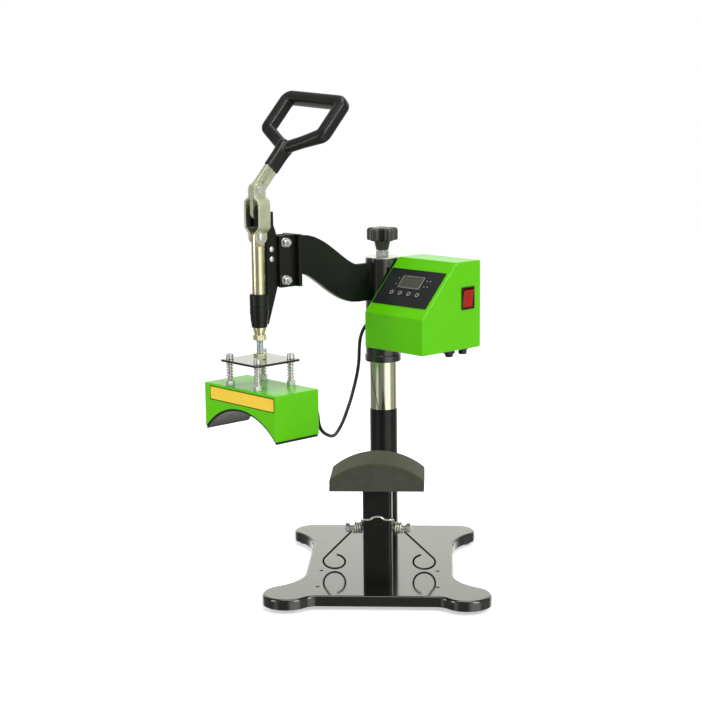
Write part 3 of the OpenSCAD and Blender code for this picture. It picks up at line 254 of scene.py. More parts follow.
def base_outline(inset):
    """The base's outline drawn in by an inset: straight front, lobes and hollows, all of them arcs."""
    y = FRONT_EDGE - NOTCH_R
    notch = Vector((LOBE_FRONT.x - math.sqrt((NOTCH_R + LOBE_FRONT_R) ** 2 - (y - LOBE_FRONT.y) ** 2), y))
    x = WAIST + HOLLOW_LOW_R
    low = Vector((x, LOBE_FRONT.y + math.sqrt((HOLLOW_LOW_R + LOBE_FRONT_R) ** 2 - (x - LOBE_FRONT.x) ** 2)))
    x = WAIST + HOLLOW_HIGH_R
    high = Vector((x, LOBE_REAR.y - math.sqrt((HOLLOW_HIGH_R + LOBE_REAR_R) ** 2 - (x - LOBE_REAR.x) ** 2)))
    half = arc(notch, NOTCH_R + inset, 90, heading(notch, LOBE_FRONT), 12)
    half += arc(LOBE_FRONT, LOBE_FRONT_R - inset, heading(LOBE_FRONT, notch), heading(LOBE_FRONT, low),
                36)[1:]
    half += arc(low, HOLLOW_LOW_R + inset, heading(low, LOBE_FRONT) + 360, 180, 16)[1:]
    half += arc(high, HOLLOW_HIGH_R + inset, 180, heading(high, LOBE_REAR), 16)
    half += arc(LOBE_REAR, LOBE_REAR_R - inset, heading(LOBE_REAR, high), 90, 30)[1:]
    return half + [(-x, y) for x, y in reversed(half)]


def fold(height, r):
    """Insets and heights round a quarter fold, from the wall up to the flat, in steps of 15 degrees."""
    turns = [math.radians(15 * i) for i in range(7)]
    return [(r * (1 - math.cos(t)), height - r + r * math.sin(t)) for t in turns]


def loose_object(bm):
    mesh = bpy.data.meshes.new("shape")
    bm.to_mesh(mesh)
    bm.free()
    holder = bpy.data.objects.new("shape", mesh)
    bpy.context.scene.collection.objects.link(holder)
    return holder


def result_of(holder):
    """The holder's mesh with its modifiers applied, as a plain mesh; the holder goes."""
    bpy.context.view_layer.update()
    mesh = bpy.data.meshes.new_from_object(holder.evaluated_get(bpy.context.evaluated_depsgraph_get()))
    bpy.data.objects.remove(holder)
    return mesh


def carve(solid, *cutters):
    """Cuts closed shapes out of a closed shape."""
    bmesh.ops.remove_doubles(solid, verts=solid.verts, dist=1e-3)
    bmesh.ops.recalc_face_normals(solid, faces=solid.faces)
    holder = loose_object(solid)
    tools = []
    for cutter in cutters:
        bmesh.ops.recalc_face_normals(cutter, faces=cutter.faces)
        tools.append(loose_object(cutter))
        cut = holder.modifiers.new("cut", "BOOLEAN")
        cut.operation, cut.solver, cut.object = "DIFFERENCE", "EXACT", tools[-1]
    mesh = result_of(holder)
    for tool in tools:
        bpy.data.objects.remove(tool)
    out = bmesh.new()
    out.from_mesh(mesh)
    return out


def lathe(bm, profile, n=64, turn=None, at=(0, 0, 0)):
    """Turns a profile of (radius, height) points about Z, then tilts and moves it."""
    turn = turn or Matrix.Identity(3)
    bridge(bm, [[turn @ Vector((x, y, z)) + Vector(at) for x, y in circle(max(r, 0.01), n)]
                for r, z in profile])


def rod(r, low, high, turn=None, at=(0, 0, 0), n=32):
    bm = bmesh.new()
    lathe(bm, [(r, low), (r, high)], n, turn, at)
    return bm


# Glossy black paint on steel: nearly a mirror at a low angle, with the slight orange peel of a sprayed coat.
base_paint = finish("base_paint", "#171814", "#10110e", (0.08, 0.13), cloud_mm=120, grain_mm=3.0,
                    relief_mm=0.004, coat=0.95, specular=0.5)

pan = bmesh.new()
pan_rings = [(FOLD_R, -BASE_SHEET)]
pan_rings += [(BASE_SHEET + a, z) for a, z in fold(-BASE_SHEET, FOLD_R - BASE_SHEET)][::-1][1:]
pan_rings += [(BASE_SHEET, -RIM + 0.4), (BASE_SHEET - 0.4, -RIM), (0.4, -RIM), (0, -RIM + 0.4)]
pan_rings += fold(0, FOLD_R)
bridge(pan, [[Vector((x, y, z)) for x, y in base_outline(inset + 0.15)] for inset, z in pan_rings])
holes = [rod(BOLT_HOLE_R, -BASE_SHEET - 2, 2, at=(sx * BOLT_DX / 2, sy * BOLT_DY / 2, 0), n=40)
         for sx in (-1, 1) for sy in (-1, 1)]
set_piece("base_pan", carve(pan, *holes), ON_BASE, base_paint, "stand", 30,
          ("base_plate",))

# Feet
# Four moulded rubber feet under the corners of the base, each held by a screw from below and a nut under the
# pan.
rubber = finish("moulded_rubber", "#1b1b1a", "#111110", (0.6, 0.75), cloud_mm=12, grain_mm=0.9,
                relief_mm=0.03)
# Bright zinc plate on small steel fasteners: pale, bluish, a little cloudy.
zinc = finish("zinc_plate", "#eceeeb", "#cdd0cf", (0.2, 0.34), 0.72, cloud_mm=8, grain_mm=0.7,
              relief_mm=0.006)


def dress(material, *names):
    """Gives CAD nodes that stay a material."""
    for name in names:
        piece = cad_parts[name]
        if not piece.material_slots:
            piece.data.materials.append(material)
        for part in piece.material_slots:
            part.material = material


def ease(width_mm, *names):
    """Merges a CAD node's loose triangles and rounds its sharp edges, without touching its own mesh."""
    for name in names:
        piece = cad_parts[name]
        join = piece.modifiers.new("join", "NODES")
        join.node_group = joined_tree()
        edge = piece.modifiers.new("edge", "BEVEL")
        edge.width = width_mm / 1000
        edge.segments = 2
        edge.limit_method = "ANGLE"
        edge.angle_limit = math.radians(38)
        edge.use_clamp_overlap = True
        even = piece.modifiers.new("even", "WEIGHTED_NORMAL")
        even.keep_sharp = True


def new_tree(name, **inputs):
    """A geometry node tree with the named inputs, each given as its kind; returns it and its input node."""
    tree = bpy.data.node_groups.new(name, "GeometryNodeTree")
    tree.interface.new_socket("Geometry", in_out="INPUT", socket_type="NodeSocketGeometry")
    for label, kind in inputs.items():
        tree.interface.new_socket(label, in_out="INPUT", socket_type="NodeSocket" + kind)
    tree.interface.new_socket("Geometry", in_out="OUTPUT", socket_type="NodeSocketGeometry")
    return tree, add_node(tree, "NodeGroupInput")


def joined_tree():
    """Node tree that merges touching points and shades smooth between edges under 30 degrees."""
    known = bpy.data.node_groups.get("joined")
    if known:
        return known
    tree, given = new_tree("joined")
    merged = add_node(tree, "GeometryNodeMergeByDistance", {"Geometry": given.outputs[0], "Distance": 2e-6})
    smooth = add_node(tree, "GeometryNodeSetShadeSmooth",
                      {"Geometry": merged.outputs[0], "Shade Smooth": True})
    angle = add_node(tree, "GeometryNodeInputMeshEdgeAngle").outputs[0]
    sharp = add_node(tree, "FunctionNodeCompare", {0: angle, 1: math.radians(30)}, operation="GREATER_THAN")
    edged = add_node(tree, "GeometryNodeSetShadeSmooth", {
        "Geometry": smooth.outputs[0], "Selection": sharp.outputs[0], "Shade Smooth": False}, domain="EDGE")
    add_node(tree, "NodeGroupOutput", {0: edged.outputs[0]})
    return tree


dress(rubber, "rubber_feet")
ease(0.8, "rubber_feet")
dress(zinc, "foot_screws")

# Platen stand
# A rectangular steel tube welded to the base carries the lower platen, a ribbed casting with a curved crown.
# A moulded silicone pad is bonded to the crown, and the cap is pulled over it.
PLATEN_W, PLATEN_D, PAD_R, FORM_R, PLATEN_CZ = 150, 92, 116, 108, 87.5
# Fine-grained satin black powder coat on the steel structure.
powder_coat = finish("black_powder_coat", "#141612", "#0d0f0b", (0.26, 0.36), cloud_mm=60, grain_mm=1.1,
                     relief_mm=0.016, specular=0.36)
# Sand-cast aluminium painted dark grey: rough skin that scatters the light.
cast_grey = finish("painted_casting", "#47493f", "#3a3c33", (0.5, 0.66), 0.1, cloud_mm=14, grain_mm=1.6,
                   relief_mm=0.09, specular=0.3)
# Olive grey silicone rubber: soft, matt, with a slight bloom.
silicone = finish("silicone_rubber", "#454634", "#3b3c2b", (0.55, 0.7), cloud_mm=40, grain_mm=1.4,
                  relief_mm=0.03, specular=0.25)
dress(powder_coat, "platen_post")
dress(cast_grey, "platen_form")
ease(1.0, "platen_form")
dress(zinc, "platen_bolts")


def pad_section(x):
    """Section of the pad across its depth at a distance x from the middle: two faces with rounded edges."""
    low = PLATEN_CZ + math.sqrt(FORM_R**2 - min(abs(x), PLATEN_W / 2) ** 2) + 0.05
    high = PLATEN_CZ + math.sqrt(PAD_R**2 - min(abs(x), PLATEN_W / 2) ** 2)
    shrink = max(0.0, abs(x) - PLATEN_W / 2 + 2) / 2
    ease_in = 2 * (1 - math.sqrt(max(0.0, 1 - shrink**2)))
    half, r = PLATEN_D / 2 - ease_in, 2.5
    corners = [((half - r, high - ease_in - r), 0), ((-half + r, high - ease_in - r), 90)]
    points = [p for at, start in corners for p in arc(at, r, start, start + 90, 5)]
    return [Vector((x, y, z)) for y, z in points + [(-half, low), (half, low)]]


pad = bmesh.new()
stations = [PLATEN_W / 2 * math.sin(math.radians(90 * i / 40)) for i in range(-40, 41)]
bridge(pad, [pad_section(x) for x in stations])
pad_piece = set_piece("pad_cover", pad, ON_BASE, silicone, "stand", 40, ("platen_pad",))

# Cap clip
# One spring wire makes the two torsion coils and the bar across the post; two more wires with curled ends
# hold the cap's brim down. All hang on a plated rod through the post, with a washer and a nut at each end.
POST_W, POST_D = 46, 60
CLIP_Z, WIRE_R, COIL_R, COIL_TURNS, COIL_PITCH = 86, 1.6, 8, 3.5, 3.8
M8_R, M8_PITCH, M8_HEX = 4, 1.25, 13
CLIP_X0 = POST_W / 2 + WIRE_R + 1.2
CLIP_X1 = CLIP_X0 + COIL_TURNS * COIL_PITCH
ARM_X = CLIP_X1 + 2 * WIRE_R + 0.3
CURL_X, CURL_R = 74, 18
clip_foot = (45, 1.8)
clip_reach = math.hypot(clip_foot[0], CLIP_Z - clip_foot[1])
CLIP_LEAN = math.atan2(clip_foot[0], CLIP_Z - clip_foot[1]) + math.asin(COIL_R / clip_reach)
CURL_S = math.sqrt(clip_reach**2 - COIL_R**2) - CURL_R - WIRE_R
curl_d = math.hypot(CURL_X - ARM_X, CURL_S)
ARM_SPLAY = math.atan2(CURL_X - ARM_X, CURL_S) + math.asin(CURL_R / curl_d)
ARM_LEN = math.sqrt(curl_d**2 - CURL_R**2)
# Bright spring wire, drawn and then plated.
spring_wire = finish("spring_wire", "#ebe9dd", "#cbc8b9", (0.16, 0.3), 0.7, cloud_mm=6, grain_mm=0.6,
                     relief_mm=0.006)
# Darkened drawn wire with a thin film of oil.
dark_wire = finish("dark_wire", "#55514a", "#35322c", (0.2, 0.34), 1.0, cloud_mm=8, grain_mm=0.6,
                   relief_mm=0.006)


def end_tree(tree, geometry, material):
    """Ends a node tree: its instances made real, in one material, as its output."""
    real = add_node(tree, "GeometryNodeRealizeInstances", {"Geometry": geometry}).outputs[0]
    coated = add_node(tree, "GeometryNodeSetMaterial", {"Geometry": real, "Material": material}).outputs[0]
    add_node(tree, "NodeGroupOutput", {0: coated})
    return tree


def wire_tree():
    """Node tree that follows an edge path with a round wire; the wire's radius is its input."""
    known = bpy.data.node_groups.get("wire")
    if known:
        return known
    tree, given = new_tree("wire", wire_radius="Float", material="Material")
    path = add_node(tree, "GeometryNodeMeshToCurve", {"Mesh": given.outputs[0]}).outputs[0]
    round_wire = add_node(tree, "GeometryNodeCurvePrimitiveCircle", {
        "Resolution": 14, "Radius": given.outputs[1]}).outputs[0]
    tube = add_node(tree, "GeometryNodeCurveToMesh", {
        "Curve": path, "Profile Curve": round_wire, "Fill Caps": True}).outputs[0]
    return end_tree(tree, tube, given.outputs[2])


def set_inputs(modifier, **values):
    """Sets a node modifier's inputs by name, through each socket's identifier."""
    for item in modifier.node_group.interface.items_tree:
        if item.in_out == "INPUT" and item.name in values:
            modifier[item.identifier] = values[item.name]


def wires(name, paths, r, place, material, body, hides=()):
    """Round wires of one radius along several open paths, as one piece."""
    bm = bmesh.new()
    for path in paths:
        points = [bm.verts.new(place @ Vector(p)) for p in path]
        for a, b in zip(points, points[1:]):
            bm.edges.new((a, b))
    holder = loose_object(bm)
    modifier = holder.modifiers.new("wire", "NODES")
    modifier.node_group = wire_tree()
    set_inputs(modifier, wire_radius=r * place.to_scale().x, material=material)
    return set_mesh(name, result_of(holder), material, body, 50, hides)


def coil_point(i, steps):
    turn = CLIP_LEAN - math.pi + math.tau * i / steps
    return Vector((CLIP_X1 - i * COIL_PITCH / steps, COIL_R * math.cos(turn),
                   CLIP_Z + COIL_R * math.sin(turn)))


bar_y = -POST_D / 2 - WIRE_R - 0.3
bar_z = CLIP_Z + 22
half_bar = [(CLIP_X0 - 0.6, bar_y * 0.55, CLIP_Z + 17), (CLIP_X0 - 1.5, bar_y + 4, CLIP_Z + 20.5),
            (CLIP_X0 - 5, bar_y, bar_z), (14, bar_y, bar_z), (10, bar_y, bar_z + 1.2), (6, bar_y, bar_z + 4),
            (2, bar_y, bar_z + 5)]
coil_steps = 24
coil = [coil_point(i, coil_steps) for i in range(round(COIL_TURNS * coil_steps) + 1)]
lead = smooth_path([coil[-2], coil[-1], *half_bar], 1.5)[1:]
half_clip = coil + [p for p in lead if (p - coil[-1]).length > 0.5]
set_wire = half_clip + [Vector((-p.x, p.y, p.z)) for p in reversed(half_clip)]
wires("clip_coils", [set_wire], WIRE_R, ON_BASE, spring_wire, "stand", ("clip_springs",))

ARM_PLANE = ON_BASE @ Matrix.Translation((0, -COIL_R * math.cos(CLIP_LEAN),
                                          CLIP_Z - COIL_R * math.sin(CLIP_LEAN)))
ARM_PLANE = ARM_PLANE @ Matrix.Rotation(CLIP_LEAN, 4, "X")
arm_paths = []
for side in (-1, 1):
    end = Vector((ARM_X + ARM_LEN * math.sin(ARM_SPLAY), 0, -ARM_LEN * math.cos(ARM_SPLAY)))
    run = [Vector((ARM_X, 0, 0)).lerp(end, u / 8) for u in range(8)]
    curl = []
    for i in range(49):
        turn = -ARM_SPLAY + math.radians(290) * i / 48
        curl.append(Vector((CURL_X + CURL_R * math.cos(turn), 0, -CURL_S + CURL_R * math.sin(-turn))))
    arm_paths.append([Vector((side * p.x, p.y, p.z)) for p in run + curl])
wires("clip_arm_wires", arm_paths, WIRE_R, ARM_PLANE, dark_wire, "clip", ("clip_arms",))


def hex_rings(af, low, high, bore=0.0):
    """Rings of a hexagon nut or head: flats across af, corners turned off by a 30 degree cone."""
    n, lead_in = 72, 0.6 if bore else 0
    reach = [af / 2 / math.cos((math.tau * k / n) % (math.pi / 3) - math.pi / 6) for k in range(n)]
    turned = 0.95 * af / 2
    drop = [(r - turned) * math.tan(math.radians(30)) for r in reach]

    def ring(radii, heights):
        turns = [math.tau * k / n for k in range(n)]
        return [Vector((r * math.cos(t), r * math.sin(t), z)) for t, r, z in zip(turns, radii, heights)]

    flat = [max(bore, 0.01)] * n
    eased = [max(bore, 0.01) + lead_in] * n
    rings = [ring(flat, [low + lead_in] * n), ring(eased, [low] * n)]
    rings += [ring([turned] * n, [low] * n), ring(reach, [low + d for d in drop])]
    rings += [ring(reach, [high - d for d in drop]), ring([turned] * n, [high] * n)]
    return rings + [ring(eased, [high] * n), ring(flat, [high - lead_in] * n)]


def add_hex(bm, af, low, high, turn=None, at=(0, 0, 0), bore=0.0):
    turn = turn or Matrix.Identity(3)
    rings = [[turn @ p + Vector(at) for p in ring] for ring in hex_rings(af, low, high, bore)]
    bridge(bm, rings, closed=bool(bore))


def add_thread(bm, r, pitch, low, high, turn=None, at=(0, 0, 0), n=32):
    """A screw thread: the surface's radius follows the distance from the thread's crest."""
    turn = turn or Matrix.Identity(3)
    depth, rows = 0.54 * pitch, max(2, round((high - low) / pitch * 6))
    rings = []
    for j in range(rows + 1):
        z = low + (high - low) * j / rows
        fade = min(1.0, (z - low) / pitch, (high - z) / pitch)
        ring = []
        for k in range(n):
            wave = abs(((z / pitch - k / n) % 1) * 2 - 1)
            radius = r - depth * (1 - fade) - depth * fade * wave
            ring.append(turn @ Vector((radius * math.cos(math.tau * k / n),
                                       radius * math.sin(math.tau * k / n), z)) + Vector(at))
        rings.append(ring)
    bridge(bm, rings)


ALONG_X = Matrix.Rotation(math.pi / 2, 3, "Y")
ALONG_MINUS_X = Matrix.Rotation(-math.pi / 2, 3, "Y")
pivot_rod = bmesh.new()
lathe(pivot_rod, [(M8_R - 0.04, -ARM_X - 4), (M8_R - 0.04, ARM_X + 4)], 32, ALONG_X, (0, 0, CLIP_Z))
for way in (ALONG_X, ALONG_MINUS_X):
    add_thread(pivot_rod, M8_R - 0.02, M8_PITCH, ARM_X + 3, ARM_X + 11, way, (0, 0, CLIP_Z))
    lathe(pivot_rod, [(4.1, ARM_X + 2.4), (6.0, ARM_X + 2.4), (6.3, ARM_X + 2.7), (6.3, ARM_X + 3.8),
                      (6.0, ARM_X + 4.0), (4.1, ARM_X + 4.0)], 32, way, (0, 0, CLIP_Z))
    add_hex(pivot_rod, M8_HEX, ARM_X + 4.1, ARM_X + 9.8, way, (0, 0, CLIP_Z), bore=M8_R - 0.1)
set_piece("clip_rod", pivot_rod, ON_BASE, zinc, "stand", 32, ("clip_pivot_rod",))

# Column
# Black steel tube below and a hard-chromed shaft above, plugged into it; the swing head turns on the shaft.
# Chrome over ground steel: a mirror broken by very fine rings from the grinding wheel.
chrome = finish("hard_chrome", "#e9e9d4", "#d8d8c0", (0.08, 0.16), 1.0, cloud_mm=60, grain_mm=2.0,
                relief_mm=0.003, stretch=(1, 1, 0.08))
SHAFT_R, SPLIT_Z, SHAFT_TOP = 24, 225, 480
AT_COLUMN = MM @ Matrix.Translation((0, REACH, 0))
lower = bmesh.new()
lathe(lower, [(SHAFT_R - 5, 0.05), (SHAFT_R + 5, 0.05), (SHAFT_R + 4.6, 1.5), (SHAFT_R + 2.2, 3.2),
              (SHAFT_R + 0.8, 4.6), (SHAFT_R, 6.5), (SHAFT_R, SPLIT_Z - 0.8), (SHAFT_R - 0.8, SPLIT_Z),
              (SHAFT_R - 5, SPLIT_Z)], 96)
set_piece("column_lower", lower, AT_COLUMN, powder_coat, "stand", 30, ("column_tube",))
upper = bmesh.new()
lathe(upper, [(SHAFT_R - 5, SPLIT_Z - 60), (SHAFT_R - 5, SPLIT_Z), (SHAFT_R - 0.7, SPLIT_Z + 0.05),
              (SHAFT_R, SPLIT_Z + 0.75), (SHAFT_R, SHAFT_TOP - 2), (SHAFT_R - 2, SHAFT_TOP), (1, SHAFT_TOP)],
      96)
set_piece("column_upper", upper, AT_COLUMN, chrome, "stand", 30, ("column_shaft",))
# Natural nylon washer and sintered bronze bushes, both hidden when the press is put together.
nylon = finish("natural_nylon", "#e6e3d6", "#d8d4c5", (0.45, 0.6), cloud_mm=10, grain_mm=1.0, relief_mm=0.01)
bronze = finish("sintered_bronze", "#b08d4f", "#94743c", (0.38, 0.52), 1.0, cloud_mm=8, grain_mm=0.8,
                relief_mm=0.03)
dress(nylon, "thrust_washer")
dress(bronze, "swing_bushes")

# Swing tube and arm
# A thick tube with a collar at its foot turns on the shaft; a curved arm of 10 mm plate is welded to it. A
# turned steel cap closes the top. The arm and the clamp's frame have the stand's satin black powder coat.
TUBE_R, TUBE_Z, TUBE_TOP = 30, 311, 493
# Glossier black paint on the tube: bright streaks run down its sides.
tube_paint = finish("tube_paint", "#1a1c1a", "#121412", (0.16, 0.26), cloud_mm=60, grain_mm=1.6,
                    relief_mm=0.008, coat=0.3, specular=0.8)
tube = bmesh.new()
lathe(tube, [(TUBE_R - 3, TUBE_Z), (TUBE_R + 0.7, TUBE_Z), (TUBE_R + 1.5, TUBE_Z + 0.8),
             (TUBE_R + 1.5, TUBE_Z + 11.2), (TUBE_R + 0.7, TUBE_Z + 12), (TUBE_R, TUBE_Z + 12.1),
             (TUBE_R, TUBE_TOP - 1), (TUBE_R - 1, TUBE_TOP), (TUBE_R - 3, TUBE_TOP)], 96)
inner = rod(TUBE_R - 2.9, TUBE_Z - 1, TUBE_TOP + 1, n=96)
set_piece("swing_sleeve", carve(tube, inner), COLUMN, tube_paint, "swing_head", 30,
          ("swing_tube",))
# Bright turned steel with fine rings.
turned_steel = finish("turned_steel", "#d9d9d2", "#bdbdb5", (0.16, 0.26), 1.0, cloud_mm=20, grain_mm=1.0,
                      relief_mm=0.006)
dress(turned_steel, "tube_cap")
ease(0.5, "tube_cap")
dress(powder_coat, "swing_arm", "arm_bracket", "clamp_frame", "box_saddle", "box_back_cover")
ease(0.9, "swing_arm", "arm_bracket", "box_saddle")
ease(0.7, "clamp_frame")

# Bracket bolts
# Two hexagon bolts with washers and nuts clamp the bracket to the tail of the clamp frame. All are zinc
# plated M8 parts.
HEAD = COLUMN @ Matrix.Translation((0, -REACH, 0))
BRACKET_X, BOLT_Y, BOLT_ZS = 11.3, 48, (476, 538)
bolts = bmesh.new()
for z in BOLT_ZS:
    at = (0, BOLT_Y, z)
    add_hex(bolts, M8_HEX, BRACKET_X + 0.02, BRACKET_X + 5.3, ALONG_MINUS_X, at)
    lathe(bolts, [(1, -BRACKET_X), (M8_R, -BRACKET_X), (M8_R, BRACKET_X + 1)], 32, ALONG_X, at)
    lathe(bolts, [(1, BRACKET_X + 0.02), (7.6, BRACKET_X + 0.02), (8, BRACKET_X + 0.4), (8, BRACKET_X + 1.2),
                  (7.6, BRACKET_X + 1.5), (1, BRACKET_X + 1.5)], 40, ALONG_X, at)
    add_hex(bolts, M8_HEX, BRACKET_X + 1.6, BRACKET_X + 8.2, ALONG_X, at, bore=M8_R - 0.1)
    add_thread(bolts, M8_R, M8_PITCH, BRACKET_X + 1, BRACKET_X + 13, ALONG_X, at)
set_piece("bracket_fasteners", bolts, HEAD, zinc, "swing_head", 32, ("bracket_bolts",))

# Toggle clamp: guide barrel and fixed pin
# The barrel is a cast sleeve that guides the plunger. A shouldered pin through the frame's ears carries the
# handle bar.
BARREL = (402, 457, 15.5)
barrel = bmesh.new()
low, high, r = BARREL
lathe(barrel, [(11.1, low), (r - 3.2, low), (r - 2.6, low + 0.8), (r - 1.5, low + 9), (r - 1.5, low + 9.3),
               (r - 1.0, low + 9.9), (r - 0.6, low + 21), (r, low + 22.4), (r, low + 34),
               (r - 0.5, low + 34.4), (r - 0.5, low + 35.4), (r, low + 35.8), (r, high - 1.8),
               (r - 1.2, high - 0.3), (r - 1.8, high), (11.1, high)], 96)
set_piece("barrel", carve(barrel, rod(11.06, low - 1, high + 1, n=96)), HEAD, powder_coat, "swing_head",
          30, ("guide_barrel",))
dress(zinc, "frame_pin", "upper_pin", "plunger_pin", "heat_sensor", "knob_stud")
# Two domed rivets close the frame's wings behind the barrel.
frame_rivets = bmesh.new()
for z in (512, 528):
    lathe(frame_rivets, [(0.5, -7.6), (2.4, -7.4), (4.1, -6.8), (4.7, -6.02), (3.0, -6.02), (3.0, 6.02),
                         (4.7, 6.02), (4.1, 6.8), (2.4, 7.4), (0.5, 7.6)], 40, ALONG_X, (0, 24, z))
set_piece("frame_rivets", frame_rivets, HEAD, zinc, "swing_head", 30)
ease(0.5, "frame_pin", "upper_pin", "knob_stud")

# Handle bar
# Flat steel bar, bent at the upper pin, zinc plated and passivated to a faint yellow-green. It turns on the
# pin through the frame's ears.
bar_zinc = finish("passivated_zinc", "#d3d6b8", "#bcbfa2", (0.26, 0.4), 0.6, cloud_mm=12, grain_mm=0.9,
                  relief_mm=0.012)
dress(bar_zinc, "handle_bar")
ease(1.0, "handle_bar")

# Looped grip
# Black vinyl moulded over the end of the bar: a sleeve that spreads into two narrow branches and closes in a
# thick loop. The mould leaves soft corners everywhere.
UPPER_Z, HANDLE_LEAN, GRIP_TWIST = 626, math.radians(-43), math.radians(6)
NECK = HEAD @ Matrix.Translation((0, 0, UPPER_Z)) @ Matrix.Rotation(HANDLE_LEAN, 4, "X")
LOOP_HALF, LOOP_APEX, LOOP_LOW, LOOP_TOP = 63, 88, 122.5, 191.6
GRIP_START, GRIP_NECK_END = 44, 99
VOXEL_MM = 1.0
# Satin vinyl: deep black with soft highlights.
vinyl = finish("moulded_vinyl", "#181916", "#11120f", (0.3, 0.4), cloud_mm=40, grain_mm=1.8, relief_mm=0.012,
               specular=0.4)


def rounded_corner_path(corners, r, n, step):
    """A closed path through corners that are rounded by arcs, with points on its straights as well."""
    out = []
    count = len(corners)
    for i in range(count):
        p, before, after = (Vector(corners[j % count]) for j in (i, i - 1, i + 1))
        a, b = (before - p).normalized(), (after - p).normalized()
        half = a.angle(b) / 2
        centre = p + (a + b).normalized() * r / math.sin(half)
        start, end = p + a * r / math.tan(half), p + b * r / math.tan(half)
        if out:
            gap = (start - out[-1]).length
            tail = out[-1]
            out += [tail.lerp(start, k * step / gap) for k in range(1, int(gap / step))]
        for k in range(n + 1):
            out.append(centre + (start - centre).lerp(end - centre, k / n).normalized() * r)
    gap = (out[0] - out[-1]).length
    tail, first = out[-1], out[0]
    return out + [tail.lerp(first, k * step / gap) for k in range(1, int(gap / step))]


def soft_section(width, depth, power):
    """A rounded rectangle between an ellipse and a box; a higher power is nearer to the box."""
    points = []
    for x, y in circle(1, 28):
        points.append((width / 2 * math.copysign(abs(x) ** (2 / power), x),
                       depth / 2 * math.copysign(abs(y) ** (2 / power), y)))
    return points


loop_line = rounded_corner_path(
    [(0, 0, LOOP_APEX), (LOOP_HALF, 0, LOOP_LOW), (LOOP_HALF, 0, LOOP_TOP), (-LOOP_HALF, 0, LOOP_TOP),
     (-LOOP_HALF, 0, LOOP_LOW)], 9, 8, 4)


def loop_section(share):
    """The loop's section: narrow in the two branches, full round the legs and the top bar."""
    height = loop_line[round(share * len(loop_line)) % len(loop_line)].z
    full = min(1.0, max(0.0, (height - LOOP_APEX - 14) / 26))
    full = full * full * (3 - 2 * full)
    return soft_section(15 + 7.5 * full, 21, 3.6)


grip = bmesh.new()
turned_loop = [Matrix.Rotation(GRIP_TWIST, 3, "Z") @ p for p in loop_line]
sweep(grip, turned_loop, loop_section, Matrix.Rotation(GRIP_TWIST, 3, "Z") @ Vector((0, 1, 0)), closed=True)
sleeve = [(GRIP_START, 26.5, 12.8), (GRIP_START + 0.6, 27.6, 13.6), (GRIP_START + 2, 28, 14), (70, 28, 14),
          (82, 29, 14.5), (89, 31, 15), (94, 31, 15), (GRIP_NECK_END - 1.4, 28.5, 14),
          (GRIP_NECK_END, 24, 12)]
bridge(grip, [[Vector((x, y, z)) for y, x in soft_section(wide, deep, 4.0)] for z, wide, deep in sleeve])
grip_holder = loose_object(grip)
fuse = grip_holder.modifiers.new("fuse", "REMESH")
fuse.mode, fuse.voxel_size, fuse.adaptivity = "VOXEL", VOXEL_MM, 0.0
relax = grip_holder.modifiers.new("relax", "SMOOTH")
relax.factor, relax.iterations = 0.5, 14
grip = bmesh.new()
grip.from_mesh(result_of(grip_holder))
set_piece("looped_grip", grip, NECK, vinyl, "handle", 60, ("handle_grip",))

# Side links
# Two pressed steel links, zinc plated like the bar, join it to the plunger. They lie close together at the
# pins and bulge outward between them, round the bar's tail and the ears. Domed rivets hold their lower ends.
LOW_PIN_Z, LINK_LEN, LINK_T, LINK_HALF = 550, 76, 4, 12
LINK_BENDS = [(-13, 6.3), (5, 6.3), (10, 8.5), (15, 13.6), (20, 15.5), (53, 15.5), (58, 12.5), (61, 7.5),
              (66, 4.7), (90, 4.6)]


def link_mesh(bm, side):
    """Lofts one link along its bends; its ends are round about the pins."""
    line = smooth_path([(x, 0, LOW_PIN_Z + s) for s, x in LINK_BENDS], 1.0)
    rings = []
    for i, p in enumerate(line):
        s = p.z - LOW_PIN_Z
        over = max(-s, s - LINK_LEN, 0)
        if over >= LINK_HALF:
            continue
        half = math.sqrt(LINK_HALF**2 - over**2)
        run = (line[min(i + 1, len(line) - 1)] - line[max(i - 1, 0)]).normalized()
        out = Vector((run.z, 0, -run.x))
        bead = min(1.2, half / 2)
        ring = []
        for y, x, start in ((half, LINK_T, 0), (-half, LINK_T, 90), (-half, 0, 180), (half, 0, 270)):
            inset = (y - math.copysign(bead, y), x - math.copysign(bead, x - LINK_T / 2))
            ring += [p + out * q + Vector((0, w, 0)) for w, q in arc(inset, bead, start, start + 90, 4)]
        rings.append([Vector((side * v.x, v.y, v.z)) for v in ring])
    bridge(bm, rings)


links = bmesh.new()
for side in (-1, 1):
    link_mesh(links, side)
set_piece("links", links, HEAD, bar_zinc, "links", 40, ("side_links",))

rivets = bmesh.new()
for way in (ALONG_X, ALONG_MINUS_X):
    lathe(rivets, [(4, 6.3), (4, 10.3), (6.5, 10.3), (6.6, 10.9), (6.0, 11.7), (4.8, 12.3), (3, 12.6),
                   (0.5, 12.7)], 40, way, (0, 0, LOW_PIN_Z))
set_piece("link_rivet_heads", rivets, HEAD, zinc, "links", 30, ("link_rivets",))

